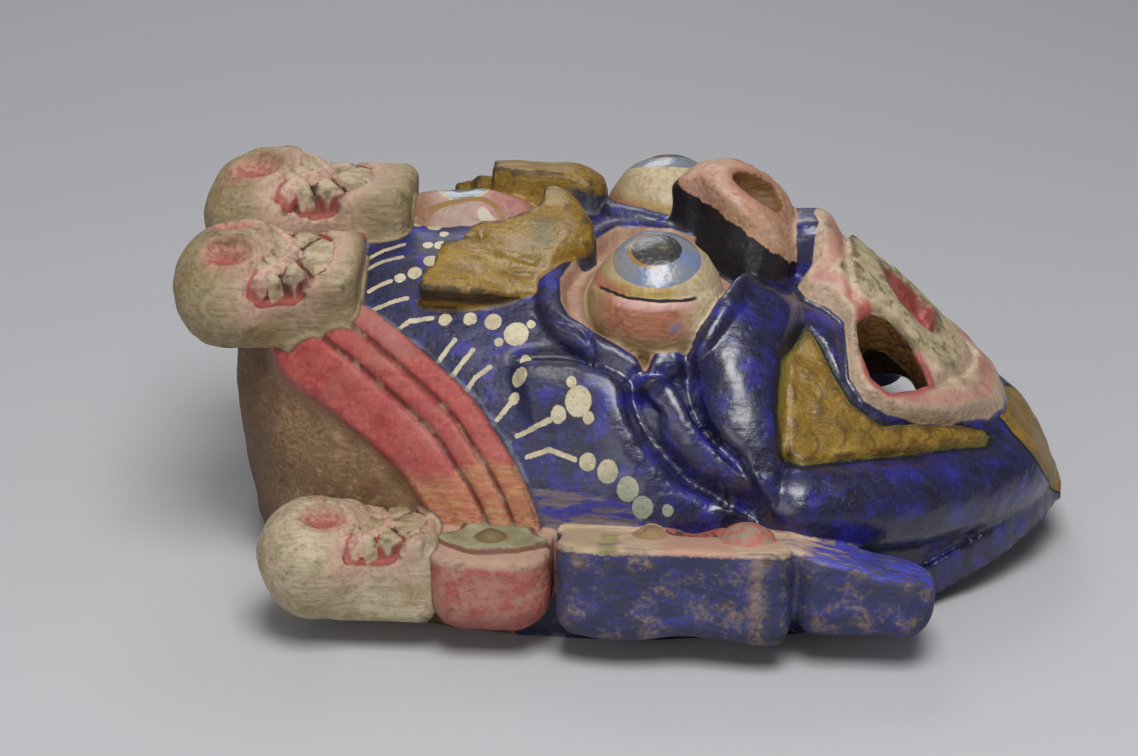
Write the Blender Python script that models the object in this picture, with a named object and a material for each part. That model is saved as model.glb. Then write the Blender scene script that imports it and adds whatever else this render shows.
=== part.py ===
"""A carved wooden dance mask of a wrathful protector with a crown of five skulls, as one solid.

The mask lies on its rim with its face up. The crown is at -X, the chin at +X, and the mask's own
right side at -Y. It is cut from one block, so it is one object: a grid of distances to the carved
surface is built up form by form, meshed, thinned and trimmed flat where it lies.

Sizes are millimetres from a working origin on the floor under the forehead. The finished mesh is
in metres, with its origin on the floor under the middle of the whole mask. Forms that come in
pairs are given once, with "out" as the distance from the middle line. Low carving is laid out on
the face unrolled: u runs from crown to chin, and v round the face, out from the middle line.
"""

import math

import bpy
import numpy as np
import openvdb

MM = 0.001
GRID = 2.2  # spacing of the distance grid
TRIANGLES = 9400  # what the mesh is thinned to
FAR = 50.0  # a distance larger than any that matters

# The head
HALF_WIDTH = 103.0  # at the ears
HEIGHT = 114.0  # at the forehead
CROWN_END, EARS_AT, FOREHEAD_AT, CHIN_END = -118.0, 20.0, -15.0, 178.0
CROWN_ROUND, CHIN_ROUND, TOP_ROUND, SIDE_ROUND = 2.3, 1.8, 3.5, 2.2  # exponents of the outlines
CROWN_LEAN, LEAN_FROM, LEAN_TO = 0.2, 37.0, 85.0  # the crown's end leans out as it rises
CHIN_FLAT_TURN, CHIN_FLAT_OFF = (0.85, 0.527), 162.7  # the cut across the chin: the way it faces, how far out
WALL = 15.0
UNROLLED = 100.0  # millimetres of v for each radian round the face
MIDDLE_X = 22.0  # the middle of the whole mask along X

# The rim: flat on the floor, lifted at the chin, and worn away in a low arch on the mask's left side
CHIN_LIFT, LIFT_FROM, LIFT_POWER = 19.0, 105.0, 1.3
ARCH_AT, ARCH_HALF, ARCH_FROM, ARCH_TO = 114.0, 17.0, 40.0, 108.0
ARCH_HIGH, ARCH_DROP, ARCH_HIGH_AT = 31.0, 0.38, 70.0  # it is lower further out
RIM_BAND, RIM_BAND_RISE, RIM_BAND_FROM = 12.0, 2.5, 60.0

# The crown
BAND_HALF, BAND_RISE, BAND_GROOVE, BAND_GROOVE_DEEP = 16.0, 4.0, 2.2, 3.0
SKULL_FOOT = 79.0  # the upper skulls are cut off level this far above the floor
BAND_ROUTE = ((-85, 0), (-83, 25), (-77, 48), (-62, 68), (-44, 86), (-30, 102), (-21, 119), (-18, 135))
SKULLS = (  # place of the middle, size, roll outwards in degrees; the first is on the middle line
    ((-92, 0, 111), 1.12, 0),
    ((-100, 43, 100), 0.97, 15),
    ((-66, 103, 27), 0.9, -2),
)

# One skull of size 1, from its own middle: x towards its chin, z up out of its face
BRAINPAN_X, BRAINPAN_SIZE = -11.0, (23, 24.5, 23)
MUZZLE_AT, MUZZLE_HALVES, MUZZLE_ROUND = (14, 0, -2), (19, 18, 17), 7.0
SKULL_UNDER = -21.0
SKULL_EYE_AT, SKULL_EYE_SIZE = (-12, 9.5, 22), (9.5, 7.5, 6)
SKULL_MOUTH = ((4, 0), (2, 6), (-1, 12), (-3, 18), (2, 21), (12, 20), (22, 14.5), (27, 6), (28, 0))
SKULL_MOUTH_DEEP, SKULL_MOUTH_FROM = 4.5, (4, 9)  # the mouth is cut into the upper side only
SKULL_ROWS = (  # the upper teeth, the lip and the lower teeth: a route, half its width, its rise
    (((3, 15), (6.5, 9), (8, 3), (8, -3)), 2.2, 3.2),
    (((0, 20), (5, 14), (11, 9), (15, 3), (15.5, -3)), 2.0, 4.5),
    (((7, 19), (14, 13.5), (21, 5), (22, -3)), 3.6, 3.8),
)

# The face
EYE_AT, EYE_SIZE = (33, 46, 98), (23, 24, 25)
EYE_LID_Z = 102.0
SOCKET = ((0, 33), (4, 46), (15, 58), (24, 62), (32, 68), (43, 60), (54, 47), (62, 25), (50, 13), (36, 8), (18, 10), (5, 20))
THIRD_EYE_AT, THIRD_EYE_SIZE = (-37, 0, 109), (30, 13, 14)
BROW_OUTER = ((8, 5), (12, 11), (12, 20), (6, 32), (0, 40), (-4, 47), (-13, 51), (-30, 52), (-47, 50))
RIGHT_BROW = BROW_OUTER + ((-46, 44), (-41, 42), (-40, 36), (-34, 34), (-33, 28), (-26, 23), (-14, 17), (-10, 8), (-4, 3))
LEFT_BROW = BROW_OUTER + ((-46, 46), (-40, 44), (-38, 38), (-32, 37), (-29, 30), (-28, 9), (-20, 5))
BROW_RISE, BROW_DROP = 15.0, 9.0  # at its inner end, and how much less beside the eye
NOSE = ((36, 0), (37, 3), (42, 7), (46, 9), (51, 15), (57, 20), (64, 24), (71, 24), (78, 19), (82, 10), (83, 0))
NOSE_CAP_AT, NOSE_CAP_SIZE = (55, 0, 104), (27, 31, 31)
NOSTRIL_AT, NOSTRIL_SIZE, NOSTRIL_TIP = (66.5, 9.5, 124), (12, 7, 9), 26
CHEEK = ((64, 24), (65, 45), (63, 65), (67, 85), (74, 104))
CHEEK_HALF, CHEEK_RISE = 17.0, 11.0
CHEEK_FADE_U, CHEEK_FADE_V = (45, 54), (22, 44)  # where the cheek sinks towards the nose
FOLDS = (((29, 76), (36, 72), (44, 75), (49, 85), (56, 94), (65, 100)), ((-6, 68), (6, 69), (17, 74), (25, 83), (33, 95), (47, 106)))
FOLD_RISE = 5.0
FOLD_ACROSS = ((-14, -8, -3, 0, 3, 6), (0, 0.25, 0.8, 1, 0.5, 0))  # gentle outside, steep towards the nose
CHEEK_GROOVES = (((81, 46), (80, 66), (79, 88), (76, 104)), ((45, 58), (45, 68), (46, 77)))
BEARD = ((84, 44), (76, 64), (75, 82), (77, 95), (83, 98), (95, 94), (106, 91), (125, 84), (146, 72),
         (148, 62), (130, 69), (110, 78), (99, 72), (92, 60), (88, 50))
BEARD_RISE = 3.0

# The mouth
LIPS = ((86, 0), (88, 7), (86, 13), (82, 17), (81, 22), (84, 27), (92, 29), (97, 34), (98, 48), (99, 61),
        (104, 69), (112, 72), (122, 71), (134, 66), (148, 51), (154, 31), (156, 0))
LIPS_RISE, LIPS_SINK = 4.5, 3.3  # the lower lip is flatter in the middle
MUZZLE = ((84, 91, 96, 102, 110, 120, 130, 144), (12.5, 13.2, 11, 9.5, 7, 4.5, 3.5, 1.5))  # u, rise
MUZZLE_WIDE = ((84, 92, 100, 112, 130), (24, 34, 42, 36, 34))  # u, how far out the rise reaches
CORNER_HOLE = ((101, 37), (106, 30), (112, 30), (120, 38), (124, 48), (126, 55), (121, 60), (112, 65), (106, 61), (102, 49))
MIDDLE_HOLE = ((111, 0), (112, 8), (117, 16), (124, 20), (129, 18), (130, 0))
MIDDLE_DEEP = 8.0
MOUTH_HOLLOW = 6.0  # the hollow runs this much further out behind the mouth
GUM_GROOVES = (((97, 0), (98, 14), (100, 28)), ((144, 0), (142, 18), (137, 36), (129, 53)))
FANG = ((101, 20), (112, 24), (122, 31), (132, 38))
FANG_HALF, FANG_RISE = 8.0, 2.0
JAW = ((82, 86, 42), (104, 77, 39), (126, 61, 36), (146, 42, 33), (160, 21, 31), (165, 0, 30))
JAW_THICK = (15, 15, 14.5, 13.5, 12.5, 12.5)

# The ears, and the earrings between them and the lowest skulls
EARRING, EARRING_ROUND, EARRING_TOP = ((-38, 2), (86, 125), (8.5, 50)), 12.0, 36.5  # cut off level at the top
EAR = ((3, 82), (86, 127), (9.5, 50))
EAR_TOP, EAR_TOP_SLOPE, EAR_TOP_FROM = 37.8, 0.2, 97.0  # the upper side rises outwards
LOBE, LOBE_ROUND = ((74, 127), (90, 124), (10.5, 50)), 11.0
LOBE_DROP, LOBE_DROP_FROM = 0.25, 80.0  # the upper side falls towards the lobe's end
EAR_NOTCH, EAR_NOTCH_DEEP = 82.0, 3.5
EAR_WAVE, EAR_WAVE_AT, EAR_WAVE_LONG = 1.2, 48.0, 7.2  # the sides swell gently along the ear
EAR_HOLLOW_AT, EAR_HOLLOW_SIZE = (47, 104, 43), (12, 5.5, 7)
EAR_KNOB_AT, EAR_KNOB_SIZE = (66, 111, 40), (9, 9, 6.5)
EAR_ROUND = 8.0  # of the ear's edges
LOZENGE_OUT, LOZENGE_HALVES, LOZENGE_RISE = 2.0, (18, 11), 1.5
LOZENGE_KNOB = (5.5, 4.0, 4.5)


# --- small mathematics of carving ------------------------------------------------------------

def eased(value, start, end):
    """0 before start, 1 after end, and smooth between."""
    share = np.clip((value - start) / (end - start), 0, 1)
    return share * share * (3 - 2 * share)


def joined(first, second, soft):
    """The union of two forms, with a fillet about as wide as soft."""
    share = np.clip(0.5 + 0.5 * (second - first) / soft, 0, 1)
    return second + (first - second) * share - soft * share * (1 - share)


def without(first, second, soft):
    """The first form with the second cut out of it."""
    return -joined(-first, second, soft)


def smooth_route(points, legs=5):
    """Points along a smooth curve through the given ones."""
    points = np.array(points, float)
    padded = np.vstack([2 * points[0] - points[1], points, 2 * points[-1] - points[-2]])
    route = []
    for before, start, end, after in zip(padded, padded[1:], padded[2:], padded[3:]):
        for step in range(legs):
            t = step / legs
            route.append(0.5 * (2 * start + (end - before) * t
                                + (2 * before - 5 * start + 4 * end - after) * t ** 2
                                + (3 * start - before - 3 * end + after) * t ** 3))
    return np.array(route + [points[-1]])


def turned(angle_x=0.0, angle_y=0.0, angle_z=0.0):
    """A rotation matrix from angles in degrees about X, then Y, then Z."""
    cx, cy, cz = (math.cos(math.radians(a)) for a in (angle_x, angle_y, angle_z))
    sx, sy, sz = (math.sin(math.radians(a)) for a in (angle_x, angle_y, angle_z))
    about_x = np.array([[1, 0, 0], [0, cx, -sx], [0, sx, cx]])
    about_y = np.array([[cy, 0, sy], [0, 1, 0], [-sy, 0, cy]])
    about_z = np.array([[cz, -sz, 0], [sz, cz, 0], [0, 0, 1]])
    return about_z @ about_y @ about_x


def local(x, y, z, centre, rotation=None, size=1.0):
    """Coordinates in the frame of a form at centre."""
    x, y, z = ((c - o) / size for c, o in zip((x, y, z), centre))
    if rotation is None:
        return x, y, z
    return tuple(rotation[0, i] * x + rotation[1, i] * y + rotation[2, i] * z for i in range(3))


# --- forms: each gives the distance outside it, negative inside ---------------------------------

def egg(x, y, z, radii):
    a, b, c = radii
    k = np.sqrt((x / a) ** 2 + (y / b) ** 2 + (z / c) ** 2)
    slope = np.sqrt((x / a ** 2) ** 2 + (y / b ** 2) ** 2 + (z / c ** 2) ** 2)
    return k * (k - 1) / np.maximum(slope, 1e-6)


def box(x, y, z, halves, rounding):
    beyond = [np.abs(c) - h + rounding for c, h in zip((x, y, z), halves)]
    outside = np.sqrt(sum(np.maximum(b, 0) ** 2 for b in beyond))
    inside = np.minimum(np.maximum(np.maximum(beyond[0], beyond[1]), beyond[2]), 0)
    return outside + inside - rounding


def rope(x, y, z, points, thick):
    """A round bar of changing thickness along a smooth route."""
    rows = smooth_route([(*point, radius) for point, radius in zip(points, thick)], 4)
    best = None
    for (ax, ay, az, ar), (bx, by, bz, br) in zip(rows, rows[1:]):
        dx, dy, dz = bx - ax, by - ay, bz - az
        t = ((x - ax) * dx + (y - ay) * dy + (z - az) * dz) / (dx * dx + dy * dy + dz * dz)
        t = np.clip(t, 0, 1)
        gap = np.sqrt((x - ax - t * dx) ** 2 + (y - ay - t * dy) ** 2 + (z - az - t * dz) ** 2)
        gap = gap - ar - t * (br - ar)
        best = gap if best is None else np.minimum(best, gap)
    return best


def outlined(u, v, corners):
    """Distance to a flat outline, negative inside it."""
    corners = np.array(corners, float)
    nearest, inside = None, None
    for (au, av), (bu, bv) in zip(corners, np.roll(corners, -1, axis=0)):
        du, dv = bu - au, bv - av
        t = np.clip(((u - au) * du + (v - av) * dv) / (du * du + dv * dv), 0, 1)
        gap = (u - au - t * du) ** 2 + (v - av - t * dv) ** 2
        nearest = gap if nearest is None else np.minimum(nearest, gap)
        across = ((av > v) != (bv > v)) & (u < du * (v - av) / (dv if dv else 1e-9) + au)
        inside = across if inside is None else inside ^ across
    return np.where(inside, -1, 1) * np.sqrt(nearest)


def both_sides(corners):
    """An outline that starts and ends on the middle line, with its mirror image."""
    return tuple(corners) + tuple((u, -v) for u, v in reversed(corners) if v)


def beside(u, v, route):
    """Distance to a smooth route on the unrolled face, negative on its right hand as it runs."""
    rows = smooth_route(route, 4)
    nearest, hand = None, None
    for (au, av), (bu, bv) in zip(rows, rows[1:]):
        du, dv = bu - au, bv - av
        t = np.clip(((u - au) * du + (v - av) * dv) / (du * du + dv * dv), 0, 1)
        gap = (u - au - t * du) ** 2 + (v - av - t * dv) ** 2
        turn = np.where(du * (v - av) > dv * (u - au), -1, 1)
        hand = turn if nearest is None else np.where(gap < nearest, turn, hand)
        nearest = gap if nearest is None else np.minimum(nearest, gap)
    return hand * np.sqrt(nearest)


def round_top(share):
    return np.sqrt(np.clip(1 - share * share, 0, 1))


def notch(share):
    return np.clip(1 - share, 0, 1)


# --- the head ---------------------------------------------------------------------------------

def arc(x, middle, ends, powers, most):
    """A curve that is highest at the middle and falls to nothing at two ends, each in its own way."""
    end, power = np.where(x < middle, ends[0], ends[1]), np.where(x < middle, *powers)
    share = np.abs((x - middle) / (end - middle))
    return most * np.clip(1 - share ** power, 1e-6, 1) ** (1 / power)


def head(x, y, z, spacing, inset=0.0):
    """The plain swelling form under all the carving, or the smaller one that hollows it."""
    x = x + CROWN_LEAN * (np.clip(z, 0, LEAN_TO) - LEAN_FROM) * eased(x, -20, -90)
    ends = (CROWN_END + inset, CHIN_END - inset)
    wide = arc(x, EARS_AT, ends, (CROWN_ROUND, CHIN_ROUND), HALF_WIDTH - inset)
    high = arc(x, FOREHEAD_AT, ends, (TOP_ROUND, 2.0), HEIGHT - inset)
    radius = np.sqrt(y * y + z * z) + 1e-3
    share = ((np.abs(y) / wide) ** SIDE_ROUND + (np.abs(z) / high) ** SIDE_ROUND) ** (1 / SIDE_ROUND)
    gap = radius * (1 - 1 / np.maximum(share, 1e-3))
    gap = np.maximum(gap, np.maximum(x - ends[1], ends[0] - x))
    steep = np.sqrt(sum(g * g for g in np.gradient(np.clip(gap, -FAR, FAR), spacing)))
    return np.clip(gap / np.maximum(steep, 1.0), -FAR, FAR)


def rim_height(x):
    """How high the rim's underside stands above the floor."""
    lift = CHIN_LIFT * np.clip((x - LIFT_FROM) / (CHIN_END - LIFT_FROM), 0, 1) ** LIFT_POWER
    return np.where(lift > 0, lift, -3 * GRID)


def rim_arch(x, y, z):
    """The low opening under the rim on the left side, which runs on under the ear lobe."""
    high = ARCH_HIGH - ARCH_DROP * (y - ARCH_HIGH_AT)
    across = (((x - ARCH_AT) / ARCH_HALF) ** 4 + (np.maximum(z, 0) / high) ** 4) ** 0.25
    return np.maximum((across - 1) * ARCH_HALF, np.maximum(y - ARCH_TO, ARCH_FROM - y))


def band_lines(u, v):
    """The crown band: three flat ribs with two grooves between them."""
    across = np.abs(beside(u, v, BAND_ROUTE))
    edge = eased(across, BAND_HALF + 1, BAND_HALF - 1)
    groove = notch(np.abs(across - BAND_HALF / 3) / BAND_GROOVE)
    return BAND_RISE * edge - BAND_GROOVE_DEEP * groove


def face_relief(u, v):
    """How far the low carving stands above the plain head."""
    rise = band_lines(u, v)
    sockets = outlined(u, v, SOCKET)
    full = 1 - eased(u, *CHEEK_FADE_U) * (1 - eased(v, *CHEEK_FADE_V))
    rise += 4 * full * round_top((sockets - 4) / 5) - 3 * eased(sockets, 1, -2)
    rise += CHEEK_RISE * full * round_top(np.abs(beside(u, v, CHEEK)) / CHEEK_HALF)
    for route in FOLDS:
        rise += FOLD_RISE * np.interp(beside(u, v, route), *FOLD_ACROSS)
    for route in CHEEK_GROOVES:
        rise -= 4 * notch(np.abs(beside(u, v, route)) / 4)
    rise += BEARD_RISE * eased(outlined(u, v, BEARD), 0.5, -1.5)
    return rise + mouth_relief(u, v)


def mouth_relief(u, v):
    """The lips and the teeth, which stand well proud in the middle of the mouth."""
    inside = eased(outlined(u, v, both_sides(LIPS)), 1, -4)
    middle = np.interp(u, *MUZZLE) * eased(v / np.interp(u, *MUZZLE_WIDE), 1, 0)
    rise = inside * (LIPS_RISE - LIPS_SINK * eased(u, 115, 138) * eased(v, 55, 35) + middle)
    for route in GUM_GROOVES:
        rise -= 2.5 * notch(np.abs(beside(u, v, route)) / 3)
    rise += FANG_RISE * round_top(np.abs(beside(u, v, FANG)) / FANG_HALF)
    return rise - MIDDLE_DEEP * eased(outlined(u, v, both_sides(MIDDLE_HOLE)), 1, -4)


def unrolled(y, z):
    return UNROLLED * np.arctan2(np.abs(y), np.maximum(z, 1e-3))


def brow(x, y, z, skin):
    """A thick gold brow with a flame-stepped edge, lower beside the eye."""
    v = unrolled(y, z)
    edge = np.where(y < 0, outlined(x, v, RIGHT_BROW), outlined(x, v, LEFT_BROW))
    rise = BROW_RISE - BROW_DROP * eased(v, 22, 48) * eased(x, -38, -5) - 5 * eased(v, 15, 45)
    return np.maximum(edge, np.maximum(skin - rise, -skin - 5))


def nose(x, out, z):
    """A cap with upright sides that spread a little at the foot."""
    cap = egg(*local(x, out, z, NOSE_CAP_AT), NOSE_CAP_SIZE)
    sides = outlined(x, out, both_sides(NOSE)) - 0.25 * np.clip(118 - z, 0, 20)
    return np.maximum(cap, sides)


def skull(x, out, z, place, size, roll):
    """A long skull with its face up: deep sockets, and an open mouth with two rows of teeth."""
    x, out, z = local(x, out, z, place, turned(angle_x=-roll), size)
    muzzle = box(*local(x, out, z, MUZZLE_AT), MUZZLE_HALVES, MUZZLE_ROUND)
    form = joined(egg(x - BRAINPAN_X, out, z, BRAINPAN_SIZE), muzzle, 5)
    form = np.maximum(form, SKULL_UNDER - z)
    for side in (-1, 1):
        eye_at = np.array(SKULL_EYE_AT) * (1, side, 1)
        form = without(form, egg(*local(x, out, z, eye_at), SKULL_EYE_SIZE), 2)
    x, out = np.broadcast_arrays(x, out)
    mouth = SKULL_MOUTH_DEEP * eased(outlined(x, out, both_sides(SKULL_MOUTH)), 1, -1)
    for route, half, rise in SKULL_ROWS:
        mouth = np.minimum(mouth, SKULL_MOUTH_DEEP - rise * round_top(beside(x, np.abs(out), route) / half))
    return (form + mouth * eased(z, *SKULL_MOUTH_FROM)) * size


def between(x, y, z, limits):
    """Coordinates from the middle of a box, and its half sizes, given the limits of each side."""
    middle = [(low + high) / 2 for low, high in limits]
    return x - middle[0], y - middle[1], z - middle[2], [(high - low) / 2 for low, high in limits]


def ear(x, out, z):
    """The ear: a long bar with a hollow in its upper side, and a lobe that hangs clear of the jaw."""
    form = box(*between(x, out, z, EAR), EAR_ROUND)
    form = form + EAR_WAVE * np.cos((x - EAR_WAVE_AT) / EAR_WAVE_LONG)
    lobe = box(*between(x, out, z, LOBE), LOBE_ROUND)
    form = np.minimum(form, lobe) + EAR_NOTCH_DEEP * notch(np.abs(x - EAR_NOTCH) / 4)
    top = EAR_TOP + EAR_TOP_SLOPE * (out - EAR_TOP_FROM) - LOBE_DROP * np.maximum(x - LOBE_DROP_FROM, 0)
    form = without(form, top - z, 3)
    form = without(form, egg(*local(x, out, z, EAR_HOLLOW_AT), EAR_HOLLOW_SIZE), 2)
    return joined(form, egg(*local(x, out, z, EAR_KNOB_AT), EAR_KNOB_SIZE), 2)


def earring(x, out, z):
    """A barrel of a block with a low lozenge on its upper side, and a knob on that."""
    form = without(box(*between(x, out, z, EARRING), EARRING_ROUND), EARRING_TOP - z, 3)
    over = z - EARRING_TOP
    x, out, _, _ = between(x, out - LOZENGE_OUT, z, EARRING)
    long, wide = LOZENGE_HALVES
    lozenge = (np.abs(x) / long + np.abs(out) / wide - 1) * wide
    form = np.minimum(form, np.maximum(lozenge, np.abs(over) - LOZENGE_RISE))
    return joined(form, egg(x, out, over, LOZENGE_KNOB), 1)


def carve(spacing):
    """The grid of distances to the whole carving, and where its first point is."""
    low = np.array([-142.0, -134.0, -3 * spacing])
    counts = np.ceil((np.array([184.0, 134.0, 146.0]) - low) / spacing).astype(int)
    x, y, z = np.ogrid[tuple(slice(0, n) for n in counts)]
    x, y, z = (low[i] + spacing * axis for i, axis in enumerate((x, y, z)))
    out = np.abs(y)

    skin = head(x, y, z, spacing)
    v_lines = np.arange(0, 320, 1.0)
    relief = face_relief(x[:, 0, :], v_lines[None, :])
    rows = np.clip(unrolled(y, z)[0] / (v_lines[1] - v_lines[0]), 0, len(v_lines) - 1.001)
    whole = rows.astype(int)
    share = rows - whole
    wood = skin - (relief[:, whole] * (1 - share) + relief[:, whole + 1] * share)

    wood = np.minimum(wood, brow(x, y, z, skin))
    wood = np.minimum(wood, nose(x, out, z))
    wood = joined(wood, egg(*local(x, out, z, EYE_AT), EYE_SIZE), 1.5)
    lid = np.maximum(egg(*local(x, out, z, EYE_AT), np.array(EYE_SIZE) + 1.4), z - EYE_LID_Z + 0.25 * (60 - out))
    wood = np.minimum(wood, lid)
    wood = joined(wood, egg(*local(x, y, z, THIRD_EYE_AT), THIRD_EYE_SIZE), 2)
    wood = joined(wood, rope(x, out, z, JAW, JAW_THICK), 5)
    rim = rim_height(x)
    foot = np.maximum(rim, 0) + RIM_BAND
    wood = np.minimum(wood, np.maximum(skin - RIM_BAND_RISE, np.maximum(z - foot, RIM_BAND_FROM - x)))
    wood = without(wood, CHIN_FLAT_OFF - CHIN_FLAT_TURN[0] * x - CHIN_FLAT_TURN[1] * z, 4)
    for place, size, roll in SKULLS:
        form = skull(x, out, z, place, size, roll)
        if place[2] > SKULL_FOOT:
            form = np.maximum(form, SKULL_FOOT - z)
        wood = joined(wood, form, 1)
    wood = joined(wood, earring(x, out, z), 1)
    wood = joined(wood, ear(x, out, z), 1.5)

    tilt = egg(*local(x, out, z, NOSTRIL_AT, turned(angle_y=NOSTRIL_TIP)), NOSTRIL_SIZE)
    wood = without(wood, tilt, 1)
    round_face = unrolled(y, z)
    behind_mouth = eased(outlined(x, round_face, both_sides(LIPS)), 2, -14)
    wood = np.maximum(wood, MOUTH_HOLLOW * behind_mouth - head(x, y, z, spacing, WALL))
    wood = without(wood, outlined(x, round_face, CORNER_HOLE), 1.5)
    wood = np.maximum(wood, rim - z)
    wood = without(wood, rim_arch(x, y, z), 1)
    return wood, low


def meshed(distances, low, spacing):
    """A mesh object of the surface where the distance is zero."""
    grid = openvdb.FloatGrid(background=3 * spacing)
    grid.copyFromArray(np.clip(distances, -3 * spacing, 3 * spacing).astype(np.float32))
    points, triangles, quads = grid.convertToPolygons(isovalue=0.0, adaptivity=0.0)
    points = (points * spacing + low - (MIDDLE_X, 0, 0)) * MM
    mesh = bpy.data.meshes.new("mask")
    mesh.from_pydata(points.tolist(), [], [face[::-1].tolist() for face in (*triangles, *quads)])
    return mesh


def material(name, colour, roughness):
    made = bpy.data.materials.new(name)
    made.use_nodes = True
    shader = made.node_tree.nodes["Principled BSDF"]
    shader.inputs["Base Color"].default_value = (*colour, 1)
    shader.inputs["Roughness"].default_value = roughness
    shader.inputs["Metallic"].default_value = 0.0
    return made


def floor_cutter():
    """What lies below the floor, to trim the rim truly flat."""
    mesh = bpy.data.meshes.new("floor_cutter")
    cutter = bpy.data.objects.new("floor_cutter", mesh)
    corners = [(x, y, z) for x in (-0.3, 0.3) for y in (-0.3, 0.3) for z in (-0.1, 0.0)]
    faces = [(0, 1, 3, 2), (4, 6, 7, 5), (0, 4, 5, 1), (2, 3, 7, 6), (0, 2, 6, 4), (1, 5, 7, 3)]
    mesh.from_pydata(corners, [], faces)
    cutter.hide_render = True
    cutter.display_type = "WIRE"
    bpy.context.collection.objects.link(cutter)
    return cutter


def main():
    for old in list(bpy.data.objects):
        bpy.data.objects.remove(old, do_unlink=True)
    distances, low = carve(GRID)
    mask = bpy.data.objects.new("mask", meshed(distances, low, GRID))
    bpy.context.collection.objects.link(mask)
    mask.data.materials.append(material("painted_wood", (0.018, 0.018, 0.12), 0.35))
    thin = mask.modifiers.new("thin", "DECIMATE")
    thin.ratio = TRIANGLES / sum(len(face.vertices) - 2 for face in mask.data.polygons)
    thin.use_collapse_triangulate = True
    trim = mask.modifiers.new("trim", "BOOLEAN")
    trim.operation = "DIFFERENCE"
    trim.object = floor_cutter()
    mask.data.shade_smooth()


main()
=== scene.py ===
"""The looks of a carved and painted wooden dance mask: a wrathful protector with a crown of skulls.

The mask is one piece of wood, so it is one piece here too. The carving is worked out again as
distances to the cut surface, on a finer grid and with the smaller cuts, and meshed. Each painted
area is kept on the mesh as a distance to its edge, and the material paints, wears and dirties
the wood by those distances, and paints shade into its grooves and hollows as well.

Lengths are millimetres from a working origin on the floor under the forehead, with the crown at
-X, the chin at +X and the mask's own right side at -Y. "Out" is the distance from the middle
line. Low carving is laid out on the face unrolled: u runs from crown to chin, and v round it.
"""

import math

import bpy
import numpy as np
import openvdb
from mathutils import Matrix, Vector


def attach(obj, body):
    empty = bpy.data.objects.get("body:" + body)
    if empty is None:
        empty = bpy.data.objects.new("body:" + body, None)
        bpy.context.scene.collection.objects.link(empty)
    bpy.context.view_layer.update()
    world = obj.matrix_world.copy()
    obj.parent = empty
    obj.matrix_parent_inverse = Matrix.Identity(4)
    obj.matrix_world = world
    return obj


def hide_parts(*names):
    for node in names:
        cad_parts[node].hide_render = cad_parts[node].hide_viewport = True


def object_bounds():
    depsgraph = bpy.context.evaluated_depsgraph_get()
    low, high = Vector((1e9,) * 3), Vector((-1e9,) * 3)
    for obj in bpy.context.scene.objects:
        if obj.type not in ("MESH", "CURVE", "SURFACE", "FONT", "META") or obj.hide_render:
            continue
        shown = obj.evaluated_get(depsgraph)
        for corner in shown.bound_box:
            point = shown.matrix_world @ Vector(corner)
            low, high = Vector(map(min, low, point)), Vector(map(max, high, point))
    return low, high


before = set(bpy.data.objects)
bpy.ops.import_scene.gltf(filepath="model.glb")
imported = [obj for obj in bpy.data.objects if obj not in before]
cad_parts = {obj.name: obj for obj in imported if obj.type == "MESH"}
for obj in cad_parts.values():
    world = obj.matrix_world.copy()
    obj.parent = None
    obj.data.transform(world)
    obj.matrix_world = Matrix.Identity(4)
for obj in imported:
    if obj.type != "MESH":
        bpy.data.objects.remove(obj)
cad_box = [list(corner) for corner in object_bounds()]

MM = 0.001
FAR = 50.0  # a distance larger than any that matters
SMALL_STEP = 1.0
GRID = 1.1  # spacing of the fine grid
AWAY = 3 * GRID  # the meshing needs no distance beyond this
MOST_TRIANGLES, INSIDE_TRIANGLES = 194000, 24000
INSIDE_WITHIN = 3.0  # a point this near the hollow counts as inside it
GROOVE_PASSES = 6  # rounds of smoothing that the grooves are measured against
MIDDLE_X = 22.0  # the middle of the whole mask along X

# The head
HALF_WIDTH = 103.0
HEIGHT = 114.0
CROWN_END, EARS_AT, FOREHEAD_AT, CHIN_END = -118.0, 20.0, -15.0, 178.0
END_ROUND, TOP_ROUND, SIDE_ROUND = (2.3, 1.8), (3.5, 2.0), 2.2  # towards the crown, towards the chin
CROWN_LEAN, LEAN_FROM, LEAN_TO = 0.2, 37.0, 85.0
CHIN_FLAT_TURN, CHIN_FLAT_OFF = (0.85, 0.527), 162.7
WALL = 15.0
HOLLOW_CUT_DEEP, HOLLOW_CUT_LONG, HOLLOW_CUT_WIDE = 0.9, 38, 13
UNROLLED = 100.0  # millimetres of v for each radian round the face
UNEVEN = ((0.35, 21, 0.4), (0.12, 6.5, 1.1))  # how high, how long and which way its waves run

# The rim
CHIN_LIFT, LIFT_FROM, LIFT_POWER = 19.0, 105.0, 1.3
ARCH_AT, ARCH_HALF, ARCH_FROM, ARCH_TO = 114.0, 17.0, 40.0, 108.0
ARCH_HIGH, ARCH_DROP, ARCH_HIGH_AT = 31.0, 0.38, 70.0
RIM_BAND, RIM_BAND_RISE, RIM_BAND_FROM = 12.0, 2.5, 60.0

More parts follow.
